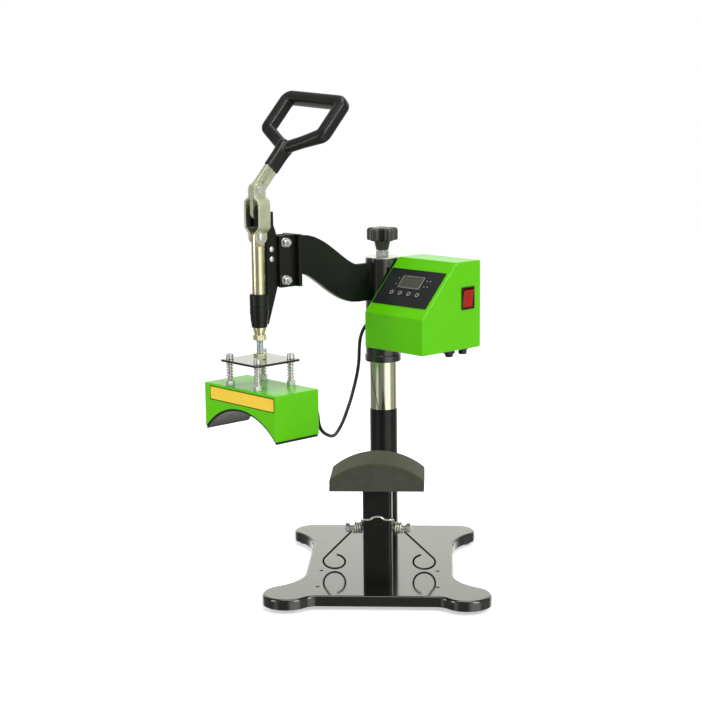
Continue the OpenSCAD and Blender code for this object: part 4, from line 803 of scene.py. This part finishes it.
# Plunger
# A ground steel rod, plated warm bright, with a flat tongue between the links and a tapped lower end. It
# slides in the barrel.
plunger_plate = finish("warm_chrome", "#ebe4c2", "#dad2aa", (0.1, 0.2), 0.9, cloud_mm=30, grain_mm=1.6,
                       relief_mm=0.004, stretch=(1, 1, 0.08))
PLUNGER_R, PLUNGER_TIP, TONGUE_HALF = 11, 390, 6
shank = bmesh.new()
crown = [(PLUNGER_R * math.cos(math.radians(a)), LOW_PIN_Z + PLUNGER_R * math.sin(math.radians(a)))
         for a in (15, 30, 45, 60, 75, 85)]
lathe(shank, [(0.5, PLUNGER_TIP), (PLUNGER_R - 2.8, PLUNGER_TIP), (PLUNGER_R - 2.4, PLUNGER_TIP + 0.4),
              (PLUNGER_R - 0.2, PLUNGER_TIP + 8), (PLUNGER_R, PLUNGER_TIP + 9), (PLUNGER_R, LOW_PIN_Z),
              *crown], 96)
flats = []
for side in (-1, 1):
    block = bmesh.new()
    bmesh.ops.create_cube(block, size=1)
    block.transform(Matrix.Translation((side * (TONGUE_HALF + 20), 0, LOW_PIN_Z)) @
                    Matrix.Diagonal((40, 40, 30, 1)))
    flats.append(block)
set_piece("plunger_rod", carve(shank, *flats), HEAD, plunger_plate, "ram", 30, ("plunger",))

# Pressure stud, nuts and spring plate
# A threaded stud screws into the plunger and sets the pressure; its nuts clamp a square plate that the
# springs push against.
STUD_R, STUD_PITCH, STUD_HEX, STUD_LOW = 6, 1.75, 19, 335
PLATE_TOP, PLATE_LOW = 349, 345
stud_zinc = finish("blue_zinc", "#d3dee0", "#b6c3c7", (0.18, 0.3), 0.7, cloud_mm=10, grain_mm=0.7,
                   relief_mm=0.006)
nut_zinc = finish("yellow_zinc", "#dedbb8", "#c8c49e", (0.18, 0.32), 0.7, cloud_mm=10, grain_mm=0.7,
                  relief_mm=0.008)
stud = bmesh.new()
add_thread(stud, STUD_R, STUD_PITCH, STUD_LOW, PLUNGER_TIP + 4, n=40)
set_piece("threaded_stud", stud, HEAD, stud_zinc, "ram", 50, ("pressure_stud",))
nuts = bmesh.new()
for low, high in ((PLUNGER_TIP - 9.5, PLUNGER_TIP - 0.1), (PLATE_TOP, PLATE_TOP + 10),
                  (PLATE_LOW - 8, PLATE_LOW)):
    add_hex(nuts, STUD_HEX, low, high, bore=STUD_R - 0.4)
set_piece("stud_lock_nuts", nuts, HEAD, nut_zinc, "ram", 32, ("stud_nuts",))
PLATE_HALF, PLATE_CORNER = 47, 4
side = PLATE_HALF - PLATE_CORNER
spread = [p for k, (x, y) in enumerate(((side, side), (-side, side), (-side, -side), (side, -side)))
          for p in arc((x, y), PLATE_CORNER, 90 * k, 90 * k + 90, 6)]
levels = [(0.7, PLATE_LOW), (0, PLATE_LOW + 0.7), (0, PLATE_TOP - 0.7), (0.2, PLATE_TOP - 0.2),
          (0.7, PLATE_TOP)]
square_plate = bmesh.new()
bridge(square_plate, [[Vector((x * (1 - inset / PLATE_HALF), y * (1 - inset / PLATE_HALF), z))
                       for x, y in spread] for inset, z in levels])
set_piece("square_plate", square_plate, HEAD, base_paint, "ram", 50, ("spring_plate",))

# Guide bolts and springs
# Four socket-head screws pass through the plate and hold a compression spring each between the plate and a
# seat nut on the housing.
GUIDE, HEAD_R, HOUSING_TOP, SEAT_H = 35.5, 6.4, 305, 9
SPRING_Z = (314, 345)
SPRING_WIRE, SPRING_D, SPRING_TURNS = 1.6, 13, 6


def copies_tree():
    """Node tree that puts a copy of one part at each point of the geometry that it is given."""
    known = bpy.data.node_groups.get("copies")
    if known:
        return known
    tree, given = new_tree("copies", part="Object", material="Material")
    part = add_node(tree, "GeometryNodeObjectInfo", {"Object": given.outputs[1]}).outputs["Geometry"]
    placed = add_node(tree, "GeometryNodeInstanceOnPoints",
                      {"Points": given.outputs[0], "Instance": part}).outputs[0]
    return end_tree(tree, placed, given.outputs[2])


def copies(name, part, points, place, material, body, hides=()):
    """One piece made of equal copies of a part, one at each point."""
    bmesh.ops.remove_doubles(part, verts=part.verts, dist=1e-3)
    bmesh.ops.recalc_face_normals(part, faces=part.faces)
    part_holder = loose_object(part)
    seats = bmesh.new()
    for p in points:
        seats.verts.new(p)
    holder = loose_object(seats)
    modifier = holder.modifiers.new("copies", "NODES")
    modifier.node_group = copies_tree()
    set_inputs(modifier, part=part_holder, material=material)
    mesh = result_of(holder)
    bpy.data.objects.remove(part_holder)
    mesh.transform(place)
    return set_mesh(name, mesh, material, body, 32, hides)


def spring_tree():
    """Node tree that winds a compression spring at each point; turns, radii and height are its inputs."""
    tree, given = new_tree("springs", turns="Float", coil_radius="Float", height="Float", wire_radius="Float",
                           material="Material")
    coil = add_node(tree, "GeometryNodeCurveSpiral", {
        "Resolution": 32, "Rotations": given.outputs[1], "Start Radius": given.outputs[2],
        "End Radius": given.outputs[2], "Height": given.outputs[3]}).outputs[0]
    round_wire = add_node(tree, "GeometryNodeCurvePrimitiveCircle", {
        "Resolution": 10, "Radius": given.outputs[4]}).outputs[0]
    tube = add_node(tree, "GeometryNodeCurveToMesh", {
        "Curve": coil, "Profile Curve": round_wire, "Fill Caps": True}).outputs[0]
    placed = add_node(tree, "GeometryNodeInstanceOnPoints",
                      {"Points": given.outputs[0], "Instance": tube}).outputs[0]
    return end_tree(tree, placed, given.outputs[5])


corners = [(sx * GUIDE, sy * GUIDE, 0) for sx in (-1, 1) for sy in (-1, 1)]
screw = bmesh.new()
lathe(screw, [(4, HOUSING_TOP - 12), (4, PLATE_TOP + 0.2), (5.9, PLATE_TOP + 0.05), (HEAD_R, PLATE_TOP + 0.5),
              (HEAD_R, PLATE_TOP + 8), (5.6, PLATE_TOP + 9), (3.6, PLATE_TOP + 9)], 48)
socket = bmesh.new()
bridge(socket, [[Vector((x, y, z)) for x, y in circle(3.46, 6)] for z in (PLATE_TOP + 5, PLATE_TOP + 11)])
screw = carve(screw, socket)
add_hex(screw, 12.6, HOUSING_TOP + 0.02, HOUSING_TOP + SEAT_H - 0.1, bore=4.02)
copies("guide_screws", screw, corners, HEAD, zinc, "heater", hides=("guide_bolts",))

spring_seats = bmesh.new()
for x, y, _ in corners:
    spring_seats.verts.new((x, y, SPRING_Z[0] + SPRING_WIRE / 2 + 0.1))
spring_holder = loose_object(spring_seats)
winding = spring_holder.modifiers.new("springs", "NODES")
winding.node_group = spring_tree()
set_inputs(winding, turns=float(SPRING_TURNS), coil_radius=(SPRING_D - SPRING_WIRE) / 2,
           height=SPRING_Z[1] - SPRING_Z[0] - SPRING_WIRE - 0.2, wire_radius=SPRING_WIRE / 2,
           material=spring_wire)
springs = result_of(spring_holder)
springs.transform(HEAD)
spring_piece = set_mesh("springs", springs, spring_wire, "heater", 50, ("head_springs",))
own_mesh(spring_piece)

# Heating head
# A green housing folded from sheet steel with an arch cut along its underside; the curved aluminium platen
# inside shows as a dark lip under the arch. Element, insulation and sensor lie above it.
HEATER_W, HEATER_D, HEATER_Z, LIP_R, ARCH_CZ, HEATER_SHEET = 184, 92, (230.6, 305), 121, 149.74, 1.5
# Gloss green enamel on steel.
green = finish("green_enamel", "#60c800", "#5bc300", (0.2, 0.28), cloud_mm=90, grain_mm=2.6, relief_mm=0.006,
               specular=0.32)
ACROSS_X = Matrix(((0, 0, 1, 0), (1, 0, 0, 0), (0, 1, 0, 0), (0, 0, 0, 1)))
ACROSS_Y = Matrix(((1, 0, 0, 0), (0, 0, -1, 0), (0, 1, 0, 0), (0, 0, 0, 1)))


def drawn_in(outline, inset):
    """Moves each side of an anticlockwise outline inwards by an inset."""
    out = []
    count = len(outline)
    for i in range(count):
        p, before, after = (Vector(outline[j % count]) for j in (i, i - 1, i + 1))
        a, b = (p - before).normalized(), (after - p).normalized()
        na, nb = Vector((-a.y, a.x)), Vector((-b.y, b.x))
        out.append(p + inset * (na + nb) / (1 + na.dot(nb)))
    return out


def round_outline(corners, r):
    """Rounds every corner of an anticlockwise outline, in five steps."""
    out = []
    count = len(corners)
    for i in range(count):
        p, before, after = (Vector(corners[j % count]) for j in (i, i - 1, i + 1))
        a, b = (before - p).normalized(), (after - p).normalized()
        half = a.angle(b) / 2
        centre = p + (a + b).normalized() * r / math.sin(half)
        start = p + a * r / math.tan(half) - centre
        end = p + b * r / math.tan(half) - centre
        swing = math.atan2(start.x * end.y - start.y * end.x, start.dot(end))
        for k in range(6):
            t = swing * k / 5
            out.append(centre + Vector((start.x * math.cos(t) - start.y * math.sin(t),
                                        start.x * math.sin(t) + start.y * math.cos(t))))
    return out


def slab(outline, low, high, edge=0.0, turn=None):
    """A plate of an outline between two heights, with both its edges rounded in four steps."""
    bm = bmesh.new()
    steps = [(0.0, low), (0.0, high)]
    if edge:
        turns = [math.radians(22.5 * i) for i in range(5)]
        steps = [(edge * (1 - math.sin(t)), low + edge * (1 - math.cos(t))) for t in turns]
        steps += [(edge * (1 - math.sin(t)), high - edge * (1 - math.cos(t))) for t in reversed(turns)]
    bridge(bm, [[Vector((p[0], p[1], z)) for p in drawn_in(outline, inset)] for inset, z in steps])
    if turn:
        bm.transform(turn)
    return bm


def block(x0, x1, y0, y1, z0, z1):
    bm = bmesh.new()
    bmesh.ops.create_cube(bm, size=1)
    bm.transform(Matrix.Translation(((x0 + x1) / 2, (y0 + y1) / 2, (z0 + z1) / 2))
                 @ Matrix.Diagonal((x1 - x0, y1 - y0, z1 - z0, 1)))
    return bm


def rectangle(x0, x1, y0, y1):
    return [(x0, y0), (x1, y0), (x1, y1), (x0, y1)]


half_w, half_d = HEATER_W / 2, HEATER_D / 2
z0, z1 = HEATER_Z
front = rectangle(-half_w, half_w, z0 - 6, z1)
housing = slab(round_outline(front, 2.4), -half_d, half_d, 2, ACROSS_Y)
inside = block(-half_w + HEATER_SHEET, half_w - HEATER_SHEET, -half_d + HEATER_SHEET, half_d - HEATER_SHEET,
               z0 - 20, z1 - HEATER_SHEET)
foot = block(-100, 100, -60, 60, z0 - 20, z0)
arch = rod(LIP_R, -70, 70, Matrix.Rotation(math.pi / 2, 3, "X"), (0, 0, ARCH_CZ), n=192)
set_piece("housing", carve(housing, foot, inside, arch), HEAD, green, "heater", 30,
          ("heater_housing",))
# Cast aluminium darkened by heat, a mica-sheathed element, mineral wool.
hot_platen = finish("heat_darkened_aluminium", "#2c2829", "#1b1819", (0.4, 0.55), 0.2, cloud_mm=30,
                    grain_mm=1.5, relief_mm=0.02)
element_steel = finish("element_sheath", "#8c8068", "#6a5f4b", (0.4, 0.55), 1.0, cloud_mm=20, grain_mm=1.2,
                       relief_mm=0.02)
mineral_wool = finish("mineral_wool", "#ded8c4", "#c8c0a8", (0.85, 0.95), cloud_mm=6, grain_mm=0.8,
                      relief_mm=0.2)
dress(hot_platen, "heating_platen")
dress(element_steel, "heating_element")
dress(mineral_wool, "insulation")

# Plate on the heating head
# A printed yellow plate stuck to the front of the housing, with a dark line round it; it is left blank.
PLATE = (-76.5, 88.5, 277.8, 301.2)
label_yellow = finish("printed_yellow", "#fcd53c", "#f6cd31", (0.3, 0.4), cloud_mm=40, grain_mm=1.0,
                      relief_mm=0.004, coat=0.2)
label_line = finish("printed_line", "#242008", "#1a1806", (0.3, 0.4), cloud_mm=40, grain_mm=1.0,
                    relief_mm=0.004)
ON_FRONT = Matrix.Translation((0, -half_d, 0)) @ ACROSS_Y
backing = slab(round_outline(rectangle(*PLATE), 1.5), 0.02, 0.3, 0.0, ON_FRONT)
set_piece("plate_line", backing, HEAD, label_line, "heater", 30)
x0, x1, z0, z1 = PLATE
face = slab(round_outline(rectangle(x0 + 1.5, x1 - 1.5, z0 + 1.5, z1 - 1.5), 0.8), 0.1, 0.42, 0.0, ON_FRONT)
set_piece("plate_face", face, HEAD, label_yellow, "heater", 30)

# Control box
# A green folded steel shell with a sloping front, closed below and behind by a black cover; the keypad,
# display and rocker are let into it.
BOX_X, BOX_Y, BOX_Z = (32, 171), (-74, 67), (347, 496)
SLOPE_FOOT, SLOPE_HEAD = Vector((-74, 408)), Vector((8, 496))
SLOPE = math.atan2(SLOPE_HEAD.y - SLOPE_FOOT.y, SLOPE_HEAD.x - SLOPE_FOOT.x)
BOX_SHEET, BOX_EDGE = 1.5, 2.6
ON_SLOPE = Matrix.Translation((BOX_X[0], SLOPE_FOOT.x, SLOPE_FOOT.y)) @ Matrix.Rotation(SLOPE, 4, "X")
box_side = [(BOX_Y[0], BOX_Z[0]), (BOX_Y[1], BOX_Z[0]), (BOX_Y[1], BOX_Z[1]), tuple(SLOPE_HEAD),
            tuple(SLOPE_FOOT)]
WINDOW, KEY_X0, KEY_PITCH, KEY_Y, KEY_R = (43, 91, 58.5, 81), 36.5, 20.3, 45.4, 5.5
ROCKER_AT, ROCKER_W, ROCKER_H = Vector((171, 34.5, 434)), 24, 31

shell = slab(round_outline(box_side, BOX_EDGE + 0.4), *BOX_X, BOX_EDGE, ACROSS_X)
cavity_side = drawn_in(box_side, BOX_SHEET)
cavity_side = [(cavity_side[0].x, BOX_Z[0] - 5), (BOX_Y[1] + 5, BOX_Z[0] - 5),
               (BOX_Y[1] + 5, cavity_side[2].y), tuple(cavity_side[3]), tuple(cavity_side[4])]
cavity = slab(cavity_side, BOX_X[0] + BOX_SHEET, BOX_X[1] - BOX_SHEET, 0.0, ACROSS_X)
rocker_hole = block(BOX_X[1] - 5, BOX_X[1] + 5, ROCKER_AT.y - 14, ROCKER_AT.y + 14, ROCKER_AT.z - 17.6,
                    ROCKER_AT.z + 17.6)
window_hole = slab(rectangle(*WINDOW), -5, 5, 0.0, ON_SLOPE)
key_holes = []
for i in range(4):
    key_holes.append(rod(KEY_R + 0.3, -5, 5, n=48))
    key_holes[i].transform(ON_SLOPE @ Matrix.Translation((KEY_X0 + i * KEY_PITCH, KEY_Y, 0)))
panel_holes = [window_hole, *key_holes]
set_piece("shell", carve(shell, cavity, rocker_hole, *[hole.copy() for hole in panel_holes]), COLUMN, green,
          "swing_head", 30, ("box_shell",))
ease(0.5, "box_back_cover")

# Keypad
# A membrane panel of printed matt black film, stuck to the box's slope. It has a display window, four round
# keys and small indicator lamps.
PANEL = (4, 132, 21, 96)
panel_film = finish("membrane_film", "#16181b", "#101214", (0.34, 0.42), cloud_mm=60, grain_mm=0.8,
                    relief_mm=0.006)
key_film = finish("key_film", "#26272a", "#1c1d20", (0.4, 0.5), cloud_mm=8, grain_mm=0.8, relief_mm=0.01)
pale_print = finish("pale_print", "#a3a59c", "#8e9088", (0.45, 0.55), cloud_mm=8, grain_mm=0.8,
                    relief_mm=0.004)
lcd_glass = finish("lcd_glass", "#4a4a3e", "#424237", (0.1, 0.16), cloud_mm=30, grain_mm=2.0, relief_mm=0.001,
                   coat=0.6)
frame_grey = finish("moulded_grey", "#7c7f78", "#6a6d66", (0.4, 0.5), cloud_mm=10, grain_mm=0.8,
                    relief_mm=0.008)
panel = slab(round_outline(rectangle(*PANEL), 2), 0.02, 1.2, 0.35, ON_SLOPE)
set_piece("keypad", carve(panel, *panel_holes), COLUMN, panel_film, "swing_head", 30,
          ("keypad_panel",))
for i, body in enumerate(("key_one", "key_two", "key_three", "key_four")):
    place = COLUMN @ ON_SLOPE @ Matrix.Translation((KEY_X0 + i * KEY_PITCH, KEY_Y, 0))
    key = bmesh.new()
    lathe(key, [(0.5, -1.5), (KEY_R, -1.5), (KEY_R, 1.7), (KEY_R - 0.4, 2.3), (KEY_R - 1.1, 2.6),
                (KEY_R - 2.2, 2.45), (0.5, 2.3)], 48)
    set_piece(f"key_cap_{i + 1}", key, place, key_film, body, 35, (f"key_{i + 1}",))
    mark = bmesh.new()
    lathe(mark, [(2.7, 2.3), (3.9, 2.3), (3.9, 2.68), (2.7, 2.68)], 40)
    set_piece(f"key_ring_{i + 1}", carve(mark, rod(2.6, 2, 3, n=40)), place, pale_print, body,
              35)
rim = slab(round_outline(rectangle(WINDOW[0] - 1.6, WINDOW[1] + 1.6, WINDOW[2] - 1.6, WINDOW[3] + 1.6), 2),
           1.1, 2.0, 0.4, ON_SLOPE)
rim_hole = slab(round_outline(rectangle(WINDOW[0] + 0.2, WINDOW[1] - 0.2, WINDOW[2] + 0.2, WINDOW[3] - 0.2),
                              0.8), -2, 5, 0.0, ON_SLOPE)
set_piece("display_rim", carve(rim, rim_hole), COLUMN, frame_grey, "swing_head", 35)
glass = slab(rectangle(WINDOW[0] + 0.1, WINDOW[1] - 0.1, WINDOW[2] + 0.1, WINDOW[3] - 0.1), -3, 1.35, 0.1,
             ON_SLOPE)
set_piece("display_glass", glass, COLUMN, lcd_glass, "swing_head", 35, ("display",))
lamp = bmesh.new()
lathe(lamp, [(0.3, 1.1), (1.15, 1.1), (1.15, 1.35), (0.8, 1.6), (0.3, 1.7)], 24)
lamp.transform(ON_SLOPE.to_3x3().to_4x4())
lamp_spots = [(34, 76), (34, 64), (100, 76), (100, 64), (108, 76), (108, 64)]
copies("indicator_lamps", lamp, [ON_SLOPE @ Vector((x, y, 0)) for x, y in lamp_spots], COLUMN, pale_print,
       "swing_head")

# Power rocker
# A black moulded frame snaps into the side of the box and holds a red polycarbonate rocker with a dished
# face.
plastic = finish("moulded_abs", "#1a1a19", "#121211", (0.36, 0.48), cloud_mm=20, grain_mm=0.8,
                 relief_mm=0.012)
red_lens = finish("red_polycarbonate", "#b01408", "#960c04", (0.12, 0.2), cloud_mm=10, grain_mm=1.5,
                  relief_mm=0.003, coat=0.15, specular=0.4)
dress(plastic, "rocker_frame", "mains_gland", "fuse_holder", "cable_gland", "heater_gland")
ease(0.5, "rocker_frame", "mains_gland", "fuse_holder", "cable_gland", "heater_gland")
ROCK = Matrix.Translation(ROCKER_AT - Vector((3, 0, 0))) @ Matrix.Rotation(math.radians(8), 4, "Y")
half_h = ROCKER_H / 2
dish = [(6.0 - 1.3 * (1 - (z / (half_h - 0.6)) ** 2), z) for z in
        (half_h - 0.6 - (ROCKER_H - 1.2) * k / 16 for k in range(17))]
rocker_side = [(x, z) for x, z in dish] + [(0, -half_h + 0.4), (-9, -6), (-9, 6), (0, half_h - 0.4)]
rocker = slab([(x, z) for x, z in reversed(rocker_side)], -ROCKER_W / 2, ROCKER_W / 2, 0.7, ACROSS_Y)
set_piece("rocker_cap", rocker, COLUMN @ ROCK, red_lens, "rocker", 40, ("power_rocker",))
dress(zinc, "box_screws")
ease(0.3, "box_screws")
board_green = finish("solder_mask", "#12602a", "#0e5223", (0.3, 0.42), cloud_mm=10, grain_mm=1.0,
                     relief_mm=0.01)
bare_aluminium = finish("bare_aluminium", "#bfc1bf", "#a4a6a4", (0.3, 0.46), 1.0, cloud_mm=12, grain_mm=0.9,
                        relief_mm=0.02)
dress(board_green, "control_board")
dress(bare_aluminium, "heater_relay")

# Star knob
# A moulded phenolic knob with five round lobes over a tapered boss, screwed on the lock stud.
KNOB_Z, KNOB_H, KNOB_R, LOBE_R = 523, 22, 28, 9
HOLLOW_R, HOLLOW_SWELL, BOSS_H, KNOB_POINTS = 17.2, 4.5, 17, 180
phenolic = finish("phenolic", "#383832", "#2a2a25", (0.3, 0.42), cloud_mm=20, grain_mm=1.2, relief_mm=0.012,
                  coat=0.1)


def star_reach(turn, inset):
    """Distance from the knob's axis to its edge: round lobes joined by shallow hollows."""
    swing = (turn + math.radians(18)) % math.radians(72) - math.radians(36)
    lobe_at = KNOB_R - LOBE_R
    across = lobe_at * math.sin(abs(swing))
    lobe = lobe_at * math.cos(swing) + math.sqrt(max(0.0, LOBE_R**2 - across**2)) if across < LOBE_R else 0.0
    hollow = HOLLOW_R + HOLLOW_SWELL * math.cos(5 * swing)
    return max(lobe, hollow) - inset


knob = bmesh.new()
top = KNOB_Z + KNOB_H
boss = [(0.01, KNOB_Z - BOSS_H), (10.2, KNOB_Z - BOSS_H), (10.8, KNOB_Z - BOSS_H + 0.6), (14.5, KNOB_Z - 0.2)]
rings = [[Vector((x, y, z)) for x, y in circle(r, KNOB_POINTS)] for r, z in boss]
star_steps = [(2.4, KNOB_Z + 0.05), (0.9, KNOB_Z + 0.6), (0.2, KNOB_Z + 1.6), (0, KNOB_Z + 3), (0, top - 5.5),
              (0.3, top - 3.6), (1.0, top - 2.2), (2.2, top - 1.1), (4.0, top - 0.3), (6.0, top)]
for inset, z in star_steps:
    ring = []
    for k in range(KNOB_POINTS):
        turn = math.tau * k / KNOB_POINTS
        reach = star_reach(turn, inset)
        ring.append(Vector((reach * math.cos(turn), reach * math.sin(turn), z)))
    rings.append(ring)
rings += [[p * (s / 10) + Vector((0, 0, top * (1 - s / 10) - 0.3 * (1 - s / 10))) for p in rings[-1]]
          for s in (7, 4, 1)]
bridge(knob, rings)
set_piece("knob_star", knob, AT_COLUMN, phenolic, "knob", 35, ("star_knob",))

# Floor and light
# A white studio sweep: the floor is white to the lens and keeps a faint shadow, and two soft boxes and a bank
# above light the press evenly.
FLOOR_Z = -0.0241
floor_mesh = bmesh.new()
bmesh.ops.create_grid(floor_mesh, x_segments=1, y_segments=1, size=6)
floor_mesh.transform(Matrix.Translation((0, 0, FLOOR_Z)))
floor = loose_object(floor_mesh)
floor.name = "floor"
white_floor = bpy.data.materials.new("white_floor")
white_floor.use_nodes = True
tree = white_floor.node_tree
tree.nodes.clear()
rays = add_node(tree, "ShaderNodeLightPath")
lift = add_node(tree, "ShaderNodeMath", {0: rays.outputs["Is Camera Ray"], 1: 0.5},
                operation="MULTIPLY").outputs[0]
paper = add_node(tree, "ShaderNodeBsdfDiffuse", {"Color": rgb("#f4f4f4")}).outputs[0]
glow = add_node(tree, "ShaderNodeEmission", {"Color": rgb("#ffffff"), "Strength": lift}).outputs[0]
both = add_node(tree, "ShaderNodeAddShader", {0: paper, 1: glow}).outputs[0]
clear = add_node(tree, "ShaderNodeBsdfTransparent").outputs[0]
choice = add_node(tree, "ShaderNodeMixShader", {0: rays.outputs["Is Glossy Ray"], 1: both,
                                                2: clear}).outputs[0]
add_node(tree, "ShaderNodeOutputMaterial", {"Surface": choice})
floor.data.materials.append(white_floor)

world = bpy.data.worlds.new("studio")
world.use_nodes = True
tree = world.node_tree
tree.nodes.clear()
direction = add_node(tree, "ShaderNodeTexCoord").outputs["Generated"]
toward = add_node(tree, "ShaderNodeSeparateXYZ", {0: direction})
azimuth = add_node(tree, "ShaderNodeMath", {0: toward.outputs["X"], 1: toward.outputs["Y"]},
                   operation="ARCTAN2").outputs[0]


def panel_of_light(centre, half, soft, strength):
    """Brightness of an upright panel about an azimuth in degrees, where 0 is straight behind the press."""
    off = add_node(tree, "ShaderNodeMath", {0: azimuth, 1: math.radians(centre)},
                   operation="SUBTRACT").outputs[0]
    away = add_node(tree, "ShaderNodeMath", {0: off}, operation="ABSOLUTE").outputs[0]
    return add_node(tree, "ShaderNodeMapRange", {
        "Value": away, "From Min": math.radians(half - soft), "From Max": math.radians(half + soft),
        "To Min": strength, "To Max": 0.0}, interpolation_type="SMOOTHSTEP").outputs[0]


panels = [panel_of_light(0, 46, 14, 0.98), panel_of_light(140, 26, 12, 1.2), panel_of_light(-130, 10, 6, 0.5),
          panel_of_light(90, 16, 8, 0.2)]
total = panels[0]
for strip in panels[1:]:
    total = add_node(tree, "ShaderNodeMath", {0: total, 1: strip}, operation="ADD").outputs[0]
low_down = add_node(tree, "ShaderNodeMapRange", {
    "Value": toward.outputs["Z"], "From Min": 0.5, "From Max": 0.75, "To Min": 1.0, "To Max": 0.25},
    interpolation_type="SMOOTHSTEP").outputs[0]
mirrored = add_node(tree, "ShaderNodeMath", {0: total, 1: low_down}, operation="MULTIPLY").outputs[0]
mirrored = add_node(tree, "ShaderNodeMath", {0: mirrored, 1: 0.22}, operation="ADD").outputs[0]
rays = add_node(tree, "ShaderNodeLightPath")
backdrop = add_node(tree, "ShaderNodeBackground", {"Color": rgb("#ffffff"), "Strength": 1.0}).outputs[0]
studio = add_node(tree, "ShaderNodeBackground", {"Color": rgb("#fbfdf4"), "Strength": mirrored}).outputs[0]
fill = add_node(tree, "ShaderNodeBackground", {"Color": rgb("#fafbff"), "Strength": 0.55}).outputs[0]
lit = add_node(tree, "ShaderNodeMixShader", {0: rays.outputs["Is Glossy Ray"], 1: fill, 2: studio}).outputs[0]
choice = add_node(tree, "ShaderNodeMixShader", {0: rays.outputs["Is Camera Ray"], 1: lit,
                                                2: backdrop}).outputs[0]
add_node(tree, "ShaderNodeOutputWorld", {"Surface": choice})
bpy.context.scene.world = world


def soft_box(name, place, aim, size, power):
    lamp = bpy.data.lights.new(name, "AREA")
    lamp.shape, lamp.size, lamp.size_y = "RECTANGLE", size[0], size[1]
    lamp.energy = power
    holder = bpy.data.objects.new(name, lamp)
    holder.location = place
    holder.rotation_euler = (Vector(aim) - Vector(place)).to_track_quat("-Z", "Y").to_euler()
    bpy.context.scene.collection.objects.link(holder)


soft_box("key", (1.9, -1.6, 1.9), (0, 0.1, 0.35), (1.2, 1.6), 42)
soft_box("left", (-2.2, -1.0, 1.1), (-0.1, 0.1, 0.4), (0.8, 2.0), 18)
soft_box("top", (0.1, 0.3, 2.6), (0, 0.1, 0.2), (1.8, 1.4), 24)
bpy.context.scene.view_settings.view_transform = "Standard"
